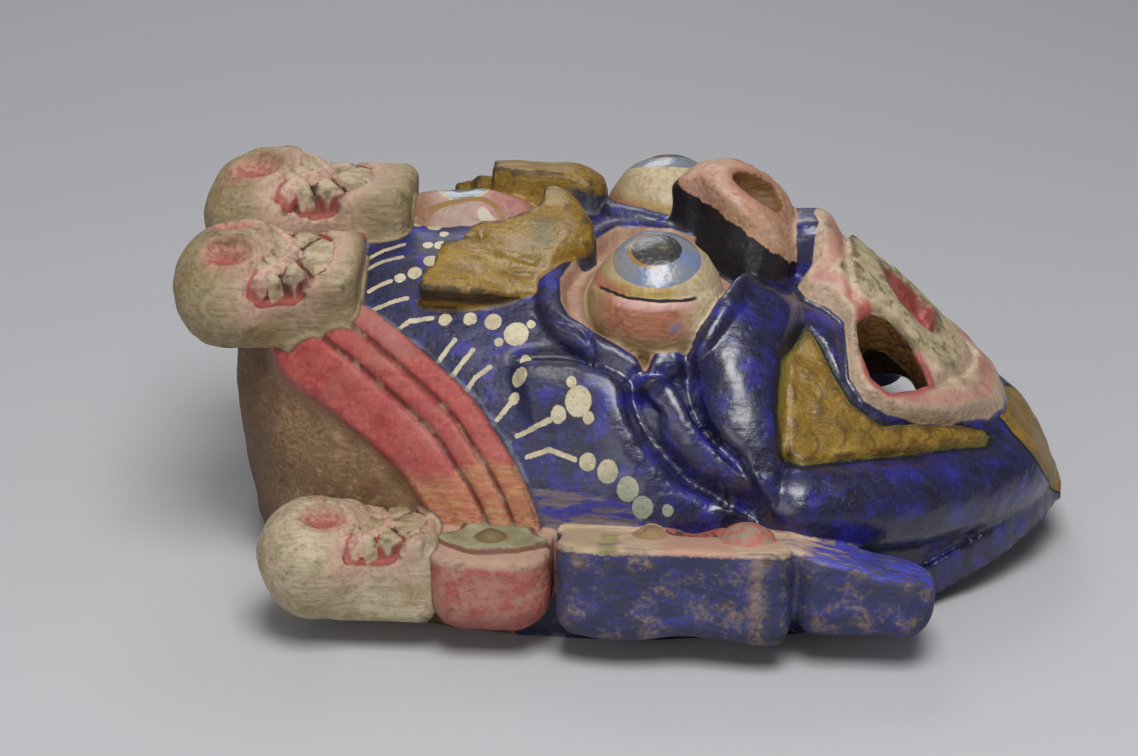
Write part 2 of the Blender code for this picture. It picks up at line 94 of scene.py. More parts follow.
# The crown
BAND_HALF, BAND_RISE, BAND_GROOVE, BAND_GROOVE_DEEP = 16.3, 4.0, 1.5, 2.2
BAND_GROOVES_AT = (-0.5, 7.6)  # beside the middle of the band
RIB_RISE, RIB_OFF, RIB_HALF = 0.6, 5.0, 4.0
WALL_CUT_DEEP, WALL_CUT_LONG, WALL_CUT_WIDE = 1.8, 34, 17
SKULL_FOOT = 83.0
BAND_ROUTE = ((-85, 0), (-86, 25), (-85, 45), (-80, 58), (-69, 67), (-58, 76), (-47, 85), (-37.5, 93.5),
              (-31, 102), (-25, 110), (-19, 122), (-16, 135))
SKULLS = (  # place, size, roll, and how far the face sits towards the chin
    ((-92, 0, 111), 1.12, 0, -4), ((-100, 43, 100), 0.97, 15, 0), ((-66, 103, 27), 0.9, -2, 5))
BRAINPAN_X, BRAINPAN_SIZE = -11.0, (23, 24.5, 23)
MUZZLE_AT, MUZZLE_HALVES, MUZZLE_ROUND = (14, 0, -2), (19, 18, 17), 5.0
SKULL_UNDER, SKULL_REACH = -21.0, 52
SKULL_CHAMFER = (0.87, 0.49, 28.0)  # a flat cut low on the back of the brainpan
SKULL_EYE_AT, SKULL_EYE_SIZE = (-12, 8.7, 22), (9.5, 7, 6)
SKULL_MOUTH = ((4, 0), (2.5, 5), (0.5, 10), (-3, 16), (-4.5, 19.5), (-0.8, 20.5), (7, 18.8), (15, 17.2),
               (22, 11), (24, 3), (24, 0))
SKULL_MOUTH_DEEP, SKULL_MOUTH_FROM = 3.0, (4, 9)
SKULL_TOOTH_HIGH, SKULL_LIP_HIGH, SKULL_LIP_HALF = 2.7, 3.5, 2.6
SKULL_TOOTH_SPREAD = 0.1
SKULL_RING_HIGH, SKULL_RING_AT, SKULL_RING_WIDE = 1.2, 1.17, 0.17  # the raised edge of an eye socket
SKULL_LIP = ((12.5, -3), (10, 2), (6.8, 8.5), (3, 13), (-1.5, 17.5))
SKULL_TEETH = (((2.6, -4), (8.4, -4), (8.0, 3.8), (3.2, 4.8)), ((2.4, 5.3), (6.6, 4.4), (4.4, 8.8),
               (0.9, 9.4)), ((0.4, 10), (3.4, 9.6), (1.2, 13.4), (-1.4, 13.6)), ((13.9, -3), (12.9, 3),
               (14.9, 7.5), (18.4, 11.6), (22.2, 8.8), (23.6, 3), (23.6, -3)), ((11.2, 4.6), (14.3, 9.4),
               (17.2, 13.2), (12, 16.2), (8.2, 14.4), (9.0, 9)), ((5.8, 12.8), (8.2, 16.4), (4.2, 18),
               (2.6, 16.4)))

# The face
EYE_AT, EYE_SIZE = (33, 46, 98), (23, 24, 25)
EYE_CRACK_Z, EYE_CRACK_HALF, EYE_CRACK_DEEP, EYE_CRACK_X = 107.3, 0.9, 1.2, 31
EYE_FULLER = 0.8  # how far the ball stands out below the crack
SOCKET_RIM, SOCKET_RIM_AT, SOCKET_RIM_HALF, SOCKET_SINK = 4.0, 4.0, 5.0, 3.0
SOCKET = ((7, 29), (1, 42), (2, 50), (5, 55), (15, 60.5), (23, 64.5), (28, 67.5), (30.5, 71), (32.5, 66),
          (38, 63.5), (46, 59), (54, 47), (62, 25), (50, 13), (36, 8), (18, 12))
LID_GROOVES = (((-7, 54), (2, 58), (9, 60.5), (13, 66.5)), ((19, 72), (24, 75), (27, 73), (30.5, 71)))
THIRD_EYE_AT, THIRD_EYE_SIZE = (-37, 0, 109), (30, 13, 14)
BROW_OUTER = ((8, 5), (12, 11), (12, 20), (6, 32), (0, 40), (-4, 47), (-13, 51), (-30, 52), (-47, 50))
RIGHT_BROW = ((-47.5, 48.5), (-46.3, 45.2), (-44.9, 42.5), (-41.9, 41.7), (-42, 38), (-39.7, 33.7),
              (-33.4, 33.4), (-33.1, 29.7), (-30.6, 27.2), (-27.9, 25.1), (-20.1, 24.9), (-14.3, 23.2),
              (-8.8, 19.1), (-7.6, 16.2), (-8.3, 9.5), (-7.1, 6.9), (-2.7, 5.4), (2.2, 8.5), (6.6, 14.7),
              (10.1, 21), (10.8, 27), (8.8, 30.3), (4.5, 32.1), (0, 34.7), (-2.4, 38.2), (-5.1, 41.8),
              (-6.3, 45), (-11, 46.5), (-19, 49), (-27, 50.5), (-36, 51.2), (-45, 50.5))
BROW_GOUGES = (((-27.5, 36), (-20, 35.6), (-9, 36.7)), ((-25, 42), (-18, 41), (-10, 40.5)))
BROW_PITS = ((-41, 37.2), (-32.2, 30.2), (-27.2, 31.5))
LEFT_BROW = BROW_OUTER + ((-46, 46), (-40, 44), (-38, 38), (-32, 37), (-29, 30), (-28, 9), (-20, 5))
BROW_RISE, BROW_DROP, BROW_END_DROP, BROW_FOOT_DROP = 15.0, 9.0, 5.0, 3.0
BROW_FACET, BROW_FACET_LONG, BROW_FACET_WIDE = 0.5, 26, 7
BROW_GOUGE_DEEP, BROW_GOUGE_HALF, BROW_PIT_DEEP, BROW_PIT_HALF = 1.5, 1.5, 2.0, 2.2
BROW_THICK = 5.0  # how far the brow reaches below the skin
NOSE = ((36, 0), (37, 3), (42, 7), (46, 9), (51, 15), (57, 20), (64, 24), (71, 24), (78, 19), (82, 10),
        (83, 0))
NOSE_CAP_AT, NOSE_CAP_SIZE = (55, 0, 104), (27, 31, 31)
NOSE_SPREAD, NOSE_SPREAD_FROM = 0.25, 118
NOSE_EDGE_X, NOSE_EDGE_Z = 39.0, 127.5  # where the flesh colour's lower edge is highest
UNDER_NOSE_AT, UNDER_NOSE_HALVES, UNDER_NOSE_ROUND = (85, 0, 104), (9, 13, 13), 7.0
NOSTRIL_AT, NOSTRIL_SIZE, NOSTRIL_TIP = (66.8, 9.5, 128), (10.5, 7, 7), 26
CHEEK = ((64, 24), (65, 45), (63, 65), (67, 85), (74, 104))
CHEEK_HALF, CHEEK_RISE, CHEEK_LEAST = 17.0, 11.0, 0.2
CHEEK_FADE_U, CHEEK_FADE_V = (45, 54), (22, 44)
CHEEK_OUTLINE = ((43.5, 62), (47, 57), (54, 48), (60, 38), (66, 20), (84, 20), (84, 42), (80.5, 52),
                 (77.5, 63), (76.6, 80), (76.8, 92), (77, 104), (77, 120), (72, 116), (66, 103),
                 (62.6, 98.7), (55.8, 93.9), (50.7, 87.3), (46.2, 77.8), (44.2, 69.8))
FOLD = ((-16, 72), (-8, 69.5), (-1, 69), (6, 69), (13, 71), (20, 72.5), (24.6, 76.5), (25.6, 83), (28, 88),
        (32.3, 93.7), (38.7, 100.2), (44.3, 105.3), (54, 110))
FOLD_ACROSS = ((-28, -20, -13, -8, -4, -1.6, 0, 1.2, 2.4, 4.5, 6),
               (0, 0.3, 0.7, 0.95, 1, 0.75, 0.1, -0.4, -0.4, -0.1, 0))
LOBE_FOLD = ((28.3, 82.5), (29.8, 78.4), (34.3, 76.6), (39.9, 77.4), (42.7, 81.5), (45.7, 86.5), (51, 92.3),
             (57.5, 96.8), (66, 101.8))
LOBE_FOLD_ACROSS = ((-15, -11, -8, -5, -2.5, 0, 1.2, 2.4, 4, 6),
                    (0, 0.1, 0.5, 0.85, 1, 0.95, 0.5, -0.2, -0.3, 0))
FOLD_RISE, FOLD_UNDER_CHEEK = 5.5, 0.7
CHEEK_GROOVES = (((81, 44), (79, 56), (77.3, 66), (76.6, 80), (76.8, 92), (77, 108)),
                 ((44, 60), (43.6, 68), (45.5, 77)), ((46, 80), (50, 88), (56, 95), (64, 101)))
BEARD = ((84, 44), (76, 64), (75, 82), (77, 95), (83, 98), (95, 94), (106, 91), (125, 84), (146, 72),
         (148, 62), (130, 69), (110, 78), (99, 72), (92, 60), (88, 50))
# where the beard gets dark crescents of painted shade, shaped like curved gouge cuts
BEARD_GOUGE_SHADES = ((81, 88), (89, 74), (88, 92), (97, 88), (106, 81), (107, 89), (116, 83), (126, 79), (134, 76))
BEARD_GOUGE_ROUND = 4.4
BEARD_RISE, BEARD_CUT, BEARD_CUT_LONG, BEARD_CUT_WIDE = 3.0, 1.1, 9, 11
BEARD_GROOVE_DEEP, BEARD_GROOVE_OFF, BEARD_GROOVE_HALF = 1.6, 1.2, 1.8
JAW_SWELL, JAW_SWELL_AT, JAW_SWELL_HALF = 2.0, 103, 12
GROOVES = ((CHEEK_GROOVES, 2.6, 2.4), (LID_GROOVES, 1.6, 1.8))  # routes, how deep, and half how wide

# The mouth
LIPS = ((86, 0), (88, 7), (86, 13), (82, 17), (81, 22), (84, 27), (92, 29), (97, 34), (98, 48), (99, 61),
        (104, 69), (112, 72), (122, 71), (134, 66), (148, 51), (154, 31), (156, 0))
LIPS_RISE, LIPS_SINK = 4.5, 3.3
LIPS_GROOVE_DEEP, LIPS_GROOVE_OFF, LIPS_GROOVE_HALF = 1.2, 1.6, 2.0
MUZZLE = ((84, 91, 96, 102, 110, 120, 130, 144), (12.5, 13.2, 11, 9.5, 7, 4.5, 3.5, 1.5))
MUZZLE_WIDE = ((84, 92, 100, 112, 130), (24, 34, 42, 36, 34))
CORNER_HOLE = ((101, 37), (106, 30), (112, 30), (120, 38), (124, 48), (126, 55), (121, 60), (112, 65),
               (106, 61), (102, 49))
MIDDLE_HOLE = ((111, 0), (112, 8), (117, 16), (124, 20), (129, 18), (130, 0))
MIDDLE_DEEP = 8.0
MOUTH_HOLLOW = 6.0
GUM_GROOVES = (((97, 0), (98, 14), (100, 28)), ((144, 0), (142, 18), (137, 36), (129, 53)))
GUM_GROOVE_DEEP, GUM_GROOVE_HALF = 2.5, 2.4
FANG = ((101, 20), (112, 24), (122, 31), (132, 38))
FANG_HALF, FANG_RISE = 8.0, 2.0
JAW = ((82, 86, 42), (104, 77, 39), (126, 61, 36), (146, 42, 33), (160, 21, 31), (165, 0, 30))
JAW_THICK = (15, 15, 14.5, 13.5, 12.5, 12.5)

# The ears and earrings
EARRING, EARRING_ROUND, EARRING_TOP = ((-38, 2), (86, 125), (8.5, 50)), 12.0, 36.5
EAR = ((3, 82), (86, 127), (9.5, 50))
EAR_TOP, EAR_TOP_SLOPE, EAR_TOP_FROM = 37.8, 0.2, 97.0
LOBE, LOBE_ROUND = ((74, 127), (90, 124), (10.5, 50)), 11.0
LOBE_DROP, LOBE_DROP_FROM = 0.25, 80.0
EAR_NOTCH, EAR_NOTCH_DEEP, EAR_NOTCH_HALF = 82.0, 3.5, 4.0
EAR_WAVE, EAR_WAVE_AT, EAR_WAVE_LONG = 1.2, 48.0, 7.2
EAR_HOLLOW_AT, EAR_HOLLOW_SIZE = (50, 102, 43), (11, 5.5, 7.5)
EAR_DIP_AT, EAR_DIP_SIZE = (21, 113, 45), (6, 8, 6)
EAR_CURL_AT, EAR_CURL_SIZE = (34, 107, 38.5), (5.5, 6.5, 4)
EAR_CURL_HOLE_AT, EAR_CURL_HOLE_SIZE = (31, 106, 43), (2, 4, 3)
EAR_KNOB_AT, EAR_KNOB_SIZE = (66, 111, 40), (9, 9, 6.5)
EAR_ROUND = 8.0
LOZENGE_OUT, LOZENGE_HALVES, LOZENGE_RISE = 2.0, (19, 10), 1.5
LOZENGE_SLOPE = 0.8  # turns the lozenge's share into a distance
LOZENGE_KNOB, LOZENGE_KNOB_AT = (5.5, 4.0, 4.5), (-18, 107.5, 0)


CAMERA_TURN, CAMERA_TIP, CAMERA_AWAY = math.radians(4), math.radians(21), 1.0
CAMERA_AIM_HIGH, LENS, SENSOR = 0.053, 87.63, 36


def add_camera():
    """Low in front of the mask's right side, looking a little down on it."""
    turn, tip = CAMERA_TURN, CAMERA_TIP
    back = Vector((math.sin(turn) * math.cos(tip), -math.cos(turn) * math.cos(tip), math.sin(tip)))
    camera = bpy.data.objects.new("camera", bpy.data.cameras.new("camera"))
    camera.location = Vector((-MIDDLE_X * MM, 0, CAMERA_AIM_HIGH)) + back * CAMERA_AWAY
    camera.rotation_euler = (-back).to_track_quat("-Z", "Y").to_euler()
    camera.data.sensor_width = SENSOR
    camera.data.lens = LENS
    bpy.context.collection.objects.link(camera)
    bpy.context.scene.camera = camera


add_camera()


# --- small mathematics of carving ------------------------------------------------------------

def eased(value, start, end):
    """0 before start, 1 after end, and smooth between."""
    share = np.clip((value - start) / (end - start), 0, 1)
    return share * share * (3 - 2 * share)


def joined(first, second, soft):
    """The union of two forms, with a fillet about as wide as soft."""
    share = np.clip(0.5 + 0.5 * (second - first) / soft, 0, 1)
    return second + (first - second) * share - soft * share * (1 - share)


def without(first, second, soft):
    """The first form with the second cut out of it."""
    return -joined(-first, second, soft)


def smooth_route(points, legs):
    """Points along a smooth curve through the given ones, with this many legs from each to the next."""
    points = np.array(points, float)
    padded = np.vstack([2 * points[0] - points[1], points, 2 * points[-1] - points[-2]])
    route = []
    for before, start, end, after in zip(padded, padded[1:], padded[2:], padded[3:]):
        for step in range(legs):
            t = step / legs
            route.append(0.5 * (2 * start + (end - before) * t
                                + (2 * before - 5 * start + 4 * end - after) * t ** 2
                                + (3 * start - before - 3 * end + after) * t ** 3))
    return np.array(route + [points[-1]])


def turned(angle_x=0.0, angle_y=0.0):
    """A rotation matrix from angles in degrees about X, then Y."""
    cx, cy = (math.cos(math.radians(a)) for a in (angle_x, angle_y))
    sx, sy = (math.sin(math.radians(a)) for a in (angle_x, angle_y))
    about_x = np.array([[1, 0, 0], [0, cx, -sx], [0, sx, cx]])
    about_y = np.array([[cy, 0, sy], [0, 1, 0], [-sy, 0, cy]])
    return about_y @ about_x


def local(x, y, z, centre, rotation=None, size=1.0):
    """Coordinates in the frame of a form at centre."""
    x, y, z = ((c - o) / size for c, o in zip((x, y, z), centre))
    if rotation is None:
        return x, y, z
    return tuple(rotation[0, i] * x + rotation[1, i] * y + rotation[2, i] * z for i in range(3))


def egg(x, y, z, radii):
    """Distance outside an egg of these three radii."""
    a, b, c = radii
    k = np.sqrt((x / a) ** 2 + (y / b) ** 2 + (z / c) ** 2)
    slope = np.sqrt((x / a ** 2) ** 2 + (y / b ** 2) ** 2 + (z / c ** 2) ** 2)
    return k * (k - 1) / np.maximum(slope, 1e-6)


def box(x, y, z, halves, rounding):
    """Distance outside a block of these half sizes with rounded edges."""
    beyond = [np.abs(c) - h + rounding for c, h in zip((x, y, z), halves)]
    outside = np.sqrt(sum(np.maximum(b, 0) ** 2 for b in beyond))
    inside = np.minimum(np.maximum(np.maximum(beyond[0], beyond[1]), beyond[2]), 0)
    return outside + inside - rounding


def rope(x, y, z, points, thick):
    """A round bar of changing thickness along a smooth route."""
    rows = smooth_route([(*point, radius) for point, radius in zip(points, thick)], 4)
    best = None
    for (ax, ay, az, ar), (bx, by, bz, br) in zip(rows, rows[1:]):
        dx, dy, dz = bx - ax, by - ay, bz - az
        t = ((x - ax) * dx + (y - ay) * dy + (z - az) * dz) / (dx * dx + dy * dy + dz * dz)
        t = np.clip(t, 0, 1)
        gap = np.sqrt((x - ax - t * dx) ** 2 + (y - ay - t * dy) ** 2 + (z - az - t * dz) ** 2)
        gap = gap - ar - t * (br - ar)
        best = gap if best is None else np.minimum(best, gap)
    return best


def outlined(u, v, corners):
    """Distance to a flat outline, negative inside it."""
    corners = np.array(corners, float)
    nearest, inside = None, None
    for (au, av), (bu, bv) in zip(corners, np.roll(corners, -1, axis=0)):
        du, dv = bu - au, bv - av
        t = np.clip(((u - au) * du + (v - av) * dv) / (du * du + dv * dv), 0, 1)
        gap = (u - au - t * du) ** 2 + (v - av - t * dv) ** 2
        nearest = gap if nearest is None else np.minimum(nearest, gap)
        across = ((av > v) != (bv > v)) & (u < du * (v - av) / (dv if dv else 1e-9) + au)
        inside = across if inside is None else inside ^ across
    return np.where(inside, -1, 1) * np.sqrt(nearest)


def both_sides(corners):
    """An outline that starts and ends on the middle line, with its mirror image."""
    return tuple(corners) + tuple((u, -v) for u, v in reversed(corners) if v)


def followed(u, v, route):
    """Distance along a smooth route and beside it, negative on its right hand as it runs."""
    rows = smooth_route(route, 4)
    nearest, hand, along, gone = None, None, None, 0.0
    for (au, av), (bu, bv) in zip(rows, rows[1:]):
        du, dv = bu - au, bv - av
        length = math.hypot(du, dv)
        t = np.clip(((u - au) * du + (v - av) * dv) / length ** 2, 0, 1)
        gap = (u - au - t * du) ** 2 + (v - av - t * dv) ** 2
        turn = np.where(du * (v - av) > dv * (u - au), -1, 1)
        if nearest is None:
            nearest, hand, along = gap, turn, gone + t * length
        else:
            nearer = gap < nearest
            nearest = np.where(nearer, gap, nearest)
            hand = np.where(nearer, turn, hand)
            along = np.where(nearer, gone + t * length, along)
        gone += length
    return along, hand * np.sqrt(nearest)


def beside(u, v, route):
    """Distance beside a smooth route alone."""
    return followed(u, v, route)[1]


def round_top(share):
    """The height of a rounded ridge, 1 along its middle and 0 from a share of 1."""
    return np.sqrt(np.clip(1 - share * share, 0, 1))


def notch(share):
    """The depth of a pointed groove, 1 along its middle and 0 from a share of 1."""
    return np.clip(1 - share, 0, 1)


def uneven(x, y, z, long, turn):
    """A gentle unevenness between about -1 and 1, with waves about this long."""
    total = 0
    for i in range(5):
        a, b = turn + 2.4 * i, turn * 1.7 + 1.9 * i
        along = x * math.cos(a) * math.cos(b) + y * math.sin(a) * math.cos(b) + z * math.sin(b)
        total = total + np.sin(along * 2 * math.pi / (long * (0.75 + 0.14 * i)) + 1.3 * b)
    return total / 2.6


def gouges(a, b, long, wide):
    """Rows of shallow tool cuts, 0 along the middle of each and up to 1 at the ridges between."""
    row = np.floor(b / wide + 0.5)
    a = a + long * 0.5 * (row % 2) + long * 0.3 * np.sin(row * 2.3)
    cut = a / long - np.floor(a / long + 0.5)
    side = b / wide - row
    return 2.6 * (0.4 * cut * cut + side * side)


# --- the head ---------------------------------------------------------------------------------

def arc(x, middle, ends, powers, most):
    """A curve that is highest at the middle and falls to nothing at two ends, each in its own way."""
    end, power = np.where(x < middle, ends[0], ends[1]), np.where(x < middle, *powers)
    share = np.abs((x - middle) / (end - middle))
    return most * np.clip(1 - share ** power, 1e-6, 1) ** (1 / power)


def swelling(x, y, z, inset):
    """The head's form as a value that is 0 on its surface, before it is made a distance."""
    x = x + CROWN_LEAN * (np.clip(z, 0, LEAN_TO) - LEAN_FROM) * eased(x, -20, -90)
    ends = (CROWN_END + inset, CHIN_END - inset)
    wide = arc(x, EARS_AT, ends, END_ROUND, HALF_WIDTH - inset)
    high = arc(x, FOREHEAD_AT, ends, TOP_ROUND, HEIGHT - inset)
    radius = np.sqrt(y * y + z * z) + 1e-3
    share = ((np.abs(y) / wide) ** SIDE_ROUND + (np.abs(z) / high) ** SIDE_ROUND) ** (1 / SIDE_ROUND)
    gap = radius * (1 - 1 / np.maximum(share, 1e-3))
    return np.clip(np.maximum(gap, np.maximum(x - ends[1], ends[0] - x)), -FAR, FAR)


def head(x, y, z, inset=0.0):
    """The plain swelling form under all the carving, or the smaller one that hollows it."""
    gap = swelling(x, y, z, inset)
    steep = ((swelling(x + SMALL_STEP, y, z, inset) - gap) ** 2
             + (swelling(x, y + SMALL_STEP, z, inset) - gap) ** 2
             + (swelling(x, y, z + SMALL_STEP, inset) - gap) ** 2)
    return gap / np.maximum(np.sqrt(steep) / SMALL_STEP, 1.0)


def rim_height(x):
    """How high the rim's underside stands above the floor."""
    return CHIN_LIFT * np.clip((x - LIFT_FROM) / (CHIN_END - LIFT_FROM), 0, 1) ** LIFT_POWER


def rim_arch(x, y, z):
    """The low opening under the rim on the left side, which runs on under the ear lobe."""
    high = ARCH_HIGH - ARCH_DROP * (y - ARCH_HIGH_AT)
    across = (((x - ARCH_AT) / ARCH_HALF) ** 4 + (np.maximum(z, 0) / high) ** 4) ** 0.25
    return np.maximum((across - 1) * ARCH_HALF, np.maximum(y - ARCH_TO, ARCH_FROM - y))


def unrolled(y, z):
    """How far round the face a point lies from the middle line."""
    return UNROLLED * np.arctan2(np.abs(y), np.maximum(z, 1e-3))


# --- low carving, laid out flat -------------------------------------------------------------------

def band_lines(u, v):
    """The crown band: three flat ribs with two grooves between them."""
    across = beside(u, v, BAND_ROUTE)
    rise = BAND_RISE * eased(np.abs(across), BAND_HALF + 0.6, BAND_HALF - 0.8)
    for at in BAND_GROOVES_AT:
        rise -= BAND_GROOVE_DEEP * notch(np.abs(across - at) / BAND_GROOVE)
        rise += RIB_RISE * round_top((across - at + RIB_OFF) / RIB_HALF)
    return rise


def wall_cuts(u, v):
    """The flats that a broad chisel left on the bare wall beyond the band."""
    across = beside(u, v, BAND_ROUTE)
    cuts = WALL_CUT_DEEP * gouges(v + 4 * np.sin(u / 9), u * 0.8 + v * 0.3, WALL_CUT_LONG, WALL_CUT_WIDE)
    return cuts * eased(across, -BAND_HALF, -BAND_HALF - 3)


def face_relief(u, v):
    """How far the low carving stands above the plain head."""
    rise = band_lines(u, v) - wall_cuts(u, v)
    sockets = outlined(u, v, SOCKET)
    full = 1 - eased(u, *CHEEK_FADE_U) * (1 - eased(v, *CHEEK_FADE_V))
    rim = SOCKET_RIM * full * round_top((sockets - SOCKET_RIM_AT) / SOCKET_RIM_HALF)
    rise += rim - SOCKET_SINK * eased(sockets, 0.6, -1.4)
    cheek = round_top(np.abs(beside(u, v, CHEEK)) / CHEEK_HALF)
    edge = eased(outlined(u, v, CHEEK_OUTLINE), 1.2, -2.5)
    rise += CHEEK_RISE * full * cheek * (CHEEK_LEAST + (1 - CHEEK_LEAST) * edge)
    for route, across in ((FOLD, FOLD_ACROSS), (LOBE_FOLD, LOBE_FOLD_ACROSS)):
        along, aside = followed(u, v, route)
        rise += FOLD_RISE * np.interp(aside, *across) * eased(along, 0, 6) * (1 - FOLD_UNDER_CHEEK * edge)
    for routes, deep, half in GROOVES:
        for route in routes:
            rise -= deep * notch(np.abs(beside(u, v, route)) / half)
    beard = outlined(u, v, BEARD)
    cuts = BEARD_CUT * gouges(u + 0.4 * v, v - 0.5 * u, BEARD_CUT_LONG, BEARD_CUT_WIDE)
    rise += (BEARD_RISE - cuts) * eased(beard, 0.3, -1.0)
    rise -= BEARD_GROOVE_DEEP * notch(np.abs(beard - BEARD_GROOVE_OFF) / BEARD_GROOVE_HALF)
    rise += JAW_SWELL * round_top((v - JAW_SWELL_AT) / JAW_SWELL_HALF) * eased(u, 76, 84) * eased(u, 150, 120)
    return rise + mouth_relief(u, v)


def mouth_relief(u, v):
    """The lips and the teeth, which stand well proud in the middle of the mouth."""
    lips = outlined(u, v, both_sides(LIPS))
    inside = eased(lips, 0.6, -3.2)
    middle = np.interp(u, *MUZZLE) * eased(v / np.interp(u, *MUZZLE_WIDE), 1, 0)
    rise = inside * (LIPS_RISE - LIPS_SINK * eased(u, 115, 138) * eased(v, 55, 35) + middle)
    rise -= LIPS_GROOVE_DEEP * notch(np.abs(lips - LIPS_GROOVE_OFF) / LIPS_GROOVE_HALF)
    for route in GUM_GROOVES:
        rise -= GUM_GROOVE_DEEP * notch(np.abs(beside(u, v, route)) / GUM_GROOVE_HALF)
    rise += FANG_RISE * round_top(np.abs(beside(u, v, FANG)) / FANG_HALF)
    return rise - MIDDLE_DEEP * eased(outlined(u, v, both_sides(MIDDLE_HOLE)), 1, -3)


def skull_teeth(x, side):
    """Distance outside the nearest tooth of a skull."""
    return np.minimum.reduce([outlined(x, side, tooth) for tooth in SKULL_TEETH]) - SKULL_TOOTH_SPREAD


def skull_relief(x, out):
    """How deep the face of one skull is cut, with the teeth, the lip and the socket rims left standing."""
    side = np.abs(out)
    cut = SKULL_MOUTH_DEEP * eased(outlined(x, out, both_sides(SKULL_MOUTH)), 0.5, -0.7)
    cut = np.minimum(cut, SKULL_MOUTH_DEEP - SKULL_TOOTH_HIGH * eased(skull_teeth(x, side), 0.5, -0.5))
    lip = np.abs(beside(x, side, SKULL_LIP))
    cut = np.minimum(cut, SKULL_MOUTH_DEEP - SKULL_LIP_HIGH * round_top(lip / SKULL_LIP_HALF))
    a, b = SKULL_EYE_AT[:2]
    ring = np.sqrt(((x - a) / SKULL_EYE_SIZE[0]) ** 2 + ((side - b) / SKULL_EYE_SIZE[1]) ** 2)
    return cut - SKULL_RING_HIGH * round_top((ring - SKULL_RING_AT) / SKULL_RING_WIDE) * eased(x, -16, -6)


class Layout:
    """A relief worked out once on a flat sheet, and read between its points."""

    def __init__(self, relief, low, high, step):
        self.low, self.step = low, step
        u, v = (np.arange(a, b + step, step) for a, b in zip(low, high))
        self.sheet = relief(u[:, None], v[None, :])

    def at(self, u, v):
        rows, counts = [], self.sheet.shape
        for value, low, count in zip((u, v), self.low, counts):
            rows.append(np.clip((value - low) / self.step, 0, count - 1.001))
        i, j = (row.astype(int) for row in rows)
        s, t = rows[0] - i, rows[1] - j
        sheet = self.sheet
        return ((sheet[i, j] * (1 - t) + sheet[i, j + 1] * t) * (1 - s)
                + (sheet[i + 1, j] * (1 - t) + sheet[i + 1, j + 1] * t) * s)


FACE = Layout(face_relief, (-150, 0), (190, 320), 0.6)
SKULL_FACE = Layout(skull_relief, (-45, 0), (45, 40), 0.3)


# --- whole forms: each gives the distance outside it, negative inside -----------------------------

def brow_plan(x, y, v):
    """Distance outside the brow's outline as it lies on the face, and how far it stands up there."""
    edge = np.where(y < 0, outlined(x, v, RIGHT_BROW), outlined(x, v, LEFT_BROW))
    rise = BROW_RISE - BROW_DROP * eased(v, 22, 48) * eased(x, -38, -5) - BROW_END_DROP * eased(v, 15, 45)
    facets = gouges(x + 0.5 * v, v - 0.3 * x, BROW_FACET_LONG, BROW_FACET_WIDE)
    rise = rise - BROW_FACET * facets - BROW_FOOT_DROP * eased(x, 0, 12)
    for route in BROW_GOUGES:
        along, across = followed(x, v, route)
        rise = rise - BROW_GOUGE_DEEP * notch(np.abs(across) / BROW_GOUGE_HALF) * eased(along, 0, 9)
    for u, w in BROW_PITS:
        rise = rise - BROW_PIT_DEEP * notch(np.hypot(x - u, v - w) / BROW_PIT_HALF)
    return edge, rise


def brow(x, y, v, skin):
    """A thick gold brow with a flame-stepped edge, lower beside the eye."""
    edge, rise = brow_plan(x, y, v)
    soft = 1 + 4 * eased(x, -8, 4)
    return np.maximum(-joined(-edge, rise - skin, soft), -skin - BROW_THICK)


def nose(x, out, z):
    """A cap with upright sides that spread a little at the foot."""
    cap = egg(*local(x, out, z, NOSE_CAP_AT), NOSE_CAP_SIZE)
    sides = outlined(x, out, both_sides(NOSE)) - NOSE_SPREAD * np.clip(NOSE_SPREAD_FROM - z, 0, 20)
    return np.maximum(cap, sides)


def nostril(x, out, z):
    """The dish of a nostril, tipped towards the front."""
    return egg(*local(x, out, z, NOSTRIL_AT, turned(angle_y=NOSTRIL_TIP)), NOSTRIL_SIZE)


def eye(x, out, z):
    """The eyeball, a little fuller below the crack that splits it."""
    ball = egg(*local(x, out, z, EYE_AT), EYE_SIZE)
    ball = ball - EYE_FULLER * eased(z, EYE_CRACK_Z + 0.4, EYE_CRACK_Z - 0.4) * eased(out, 50, 58)
    split = notch(np.abs(z - EYE_CRACK_Z) / EYE_CRACK_HALF) * eased(out, 55, 60)
    return ball + EYE_CRACK_DEEP * (split * eased(np.abs(x - EYE_CRACK_X), 18, 12))


def skull(x, out, z, place, size, roll, slide):
    """A long skull with its face up."""
    x, out, z = local(x, out, z, place, turned(angle_x=-roll), size)
    muzzle = box(*local(x, out, z, MUZZLE_AT), MUZZLE_HALVES, MUZZLE_ROUND)
    form = joined(egg(x - BRAINPAN_X, out, z, BRAINPAN_SIZE), muzzle, 5)
    form = np.maximum(form, SKULL_UNDER - z)
    back, down, off = SKULL_CHAMFER
    form = np.maximum(form, -back * x - down * z - off)
    for side in (-1, 1):
        eye_at = np.array(SKULL_EYE_AT) * (1, side, 1) + (slide, 0, 0)
        form = without(form, egg(*local(x, out, z, eye_at), SKULL_EYE_SIZE), 1.2)
    return (form + SKULL_FACE.at(x - slide, np.abs(out)) * eased(z, *SKULL_MOUTH_FROM)) * size


def between(x, y, z, limits):
    """Coordinates from the middle of a box, and its half sizes, given the limits of each side."""
    middle = [(low + high) / 2 for low, high in limits]
    return x - middle[0], y - middle[1], z - middle[2], [(high - low) / 2 for low, high in limits]


def ear_top(x, out):
    """The height of the ear's flat upper side."""
    return EAR_TOP + EAR_TOP_SLOPE * (out - EAR_TOP_FROM) - LOBE_DROP * np.maximum(x - LOBE_DROP_FROM, 0)


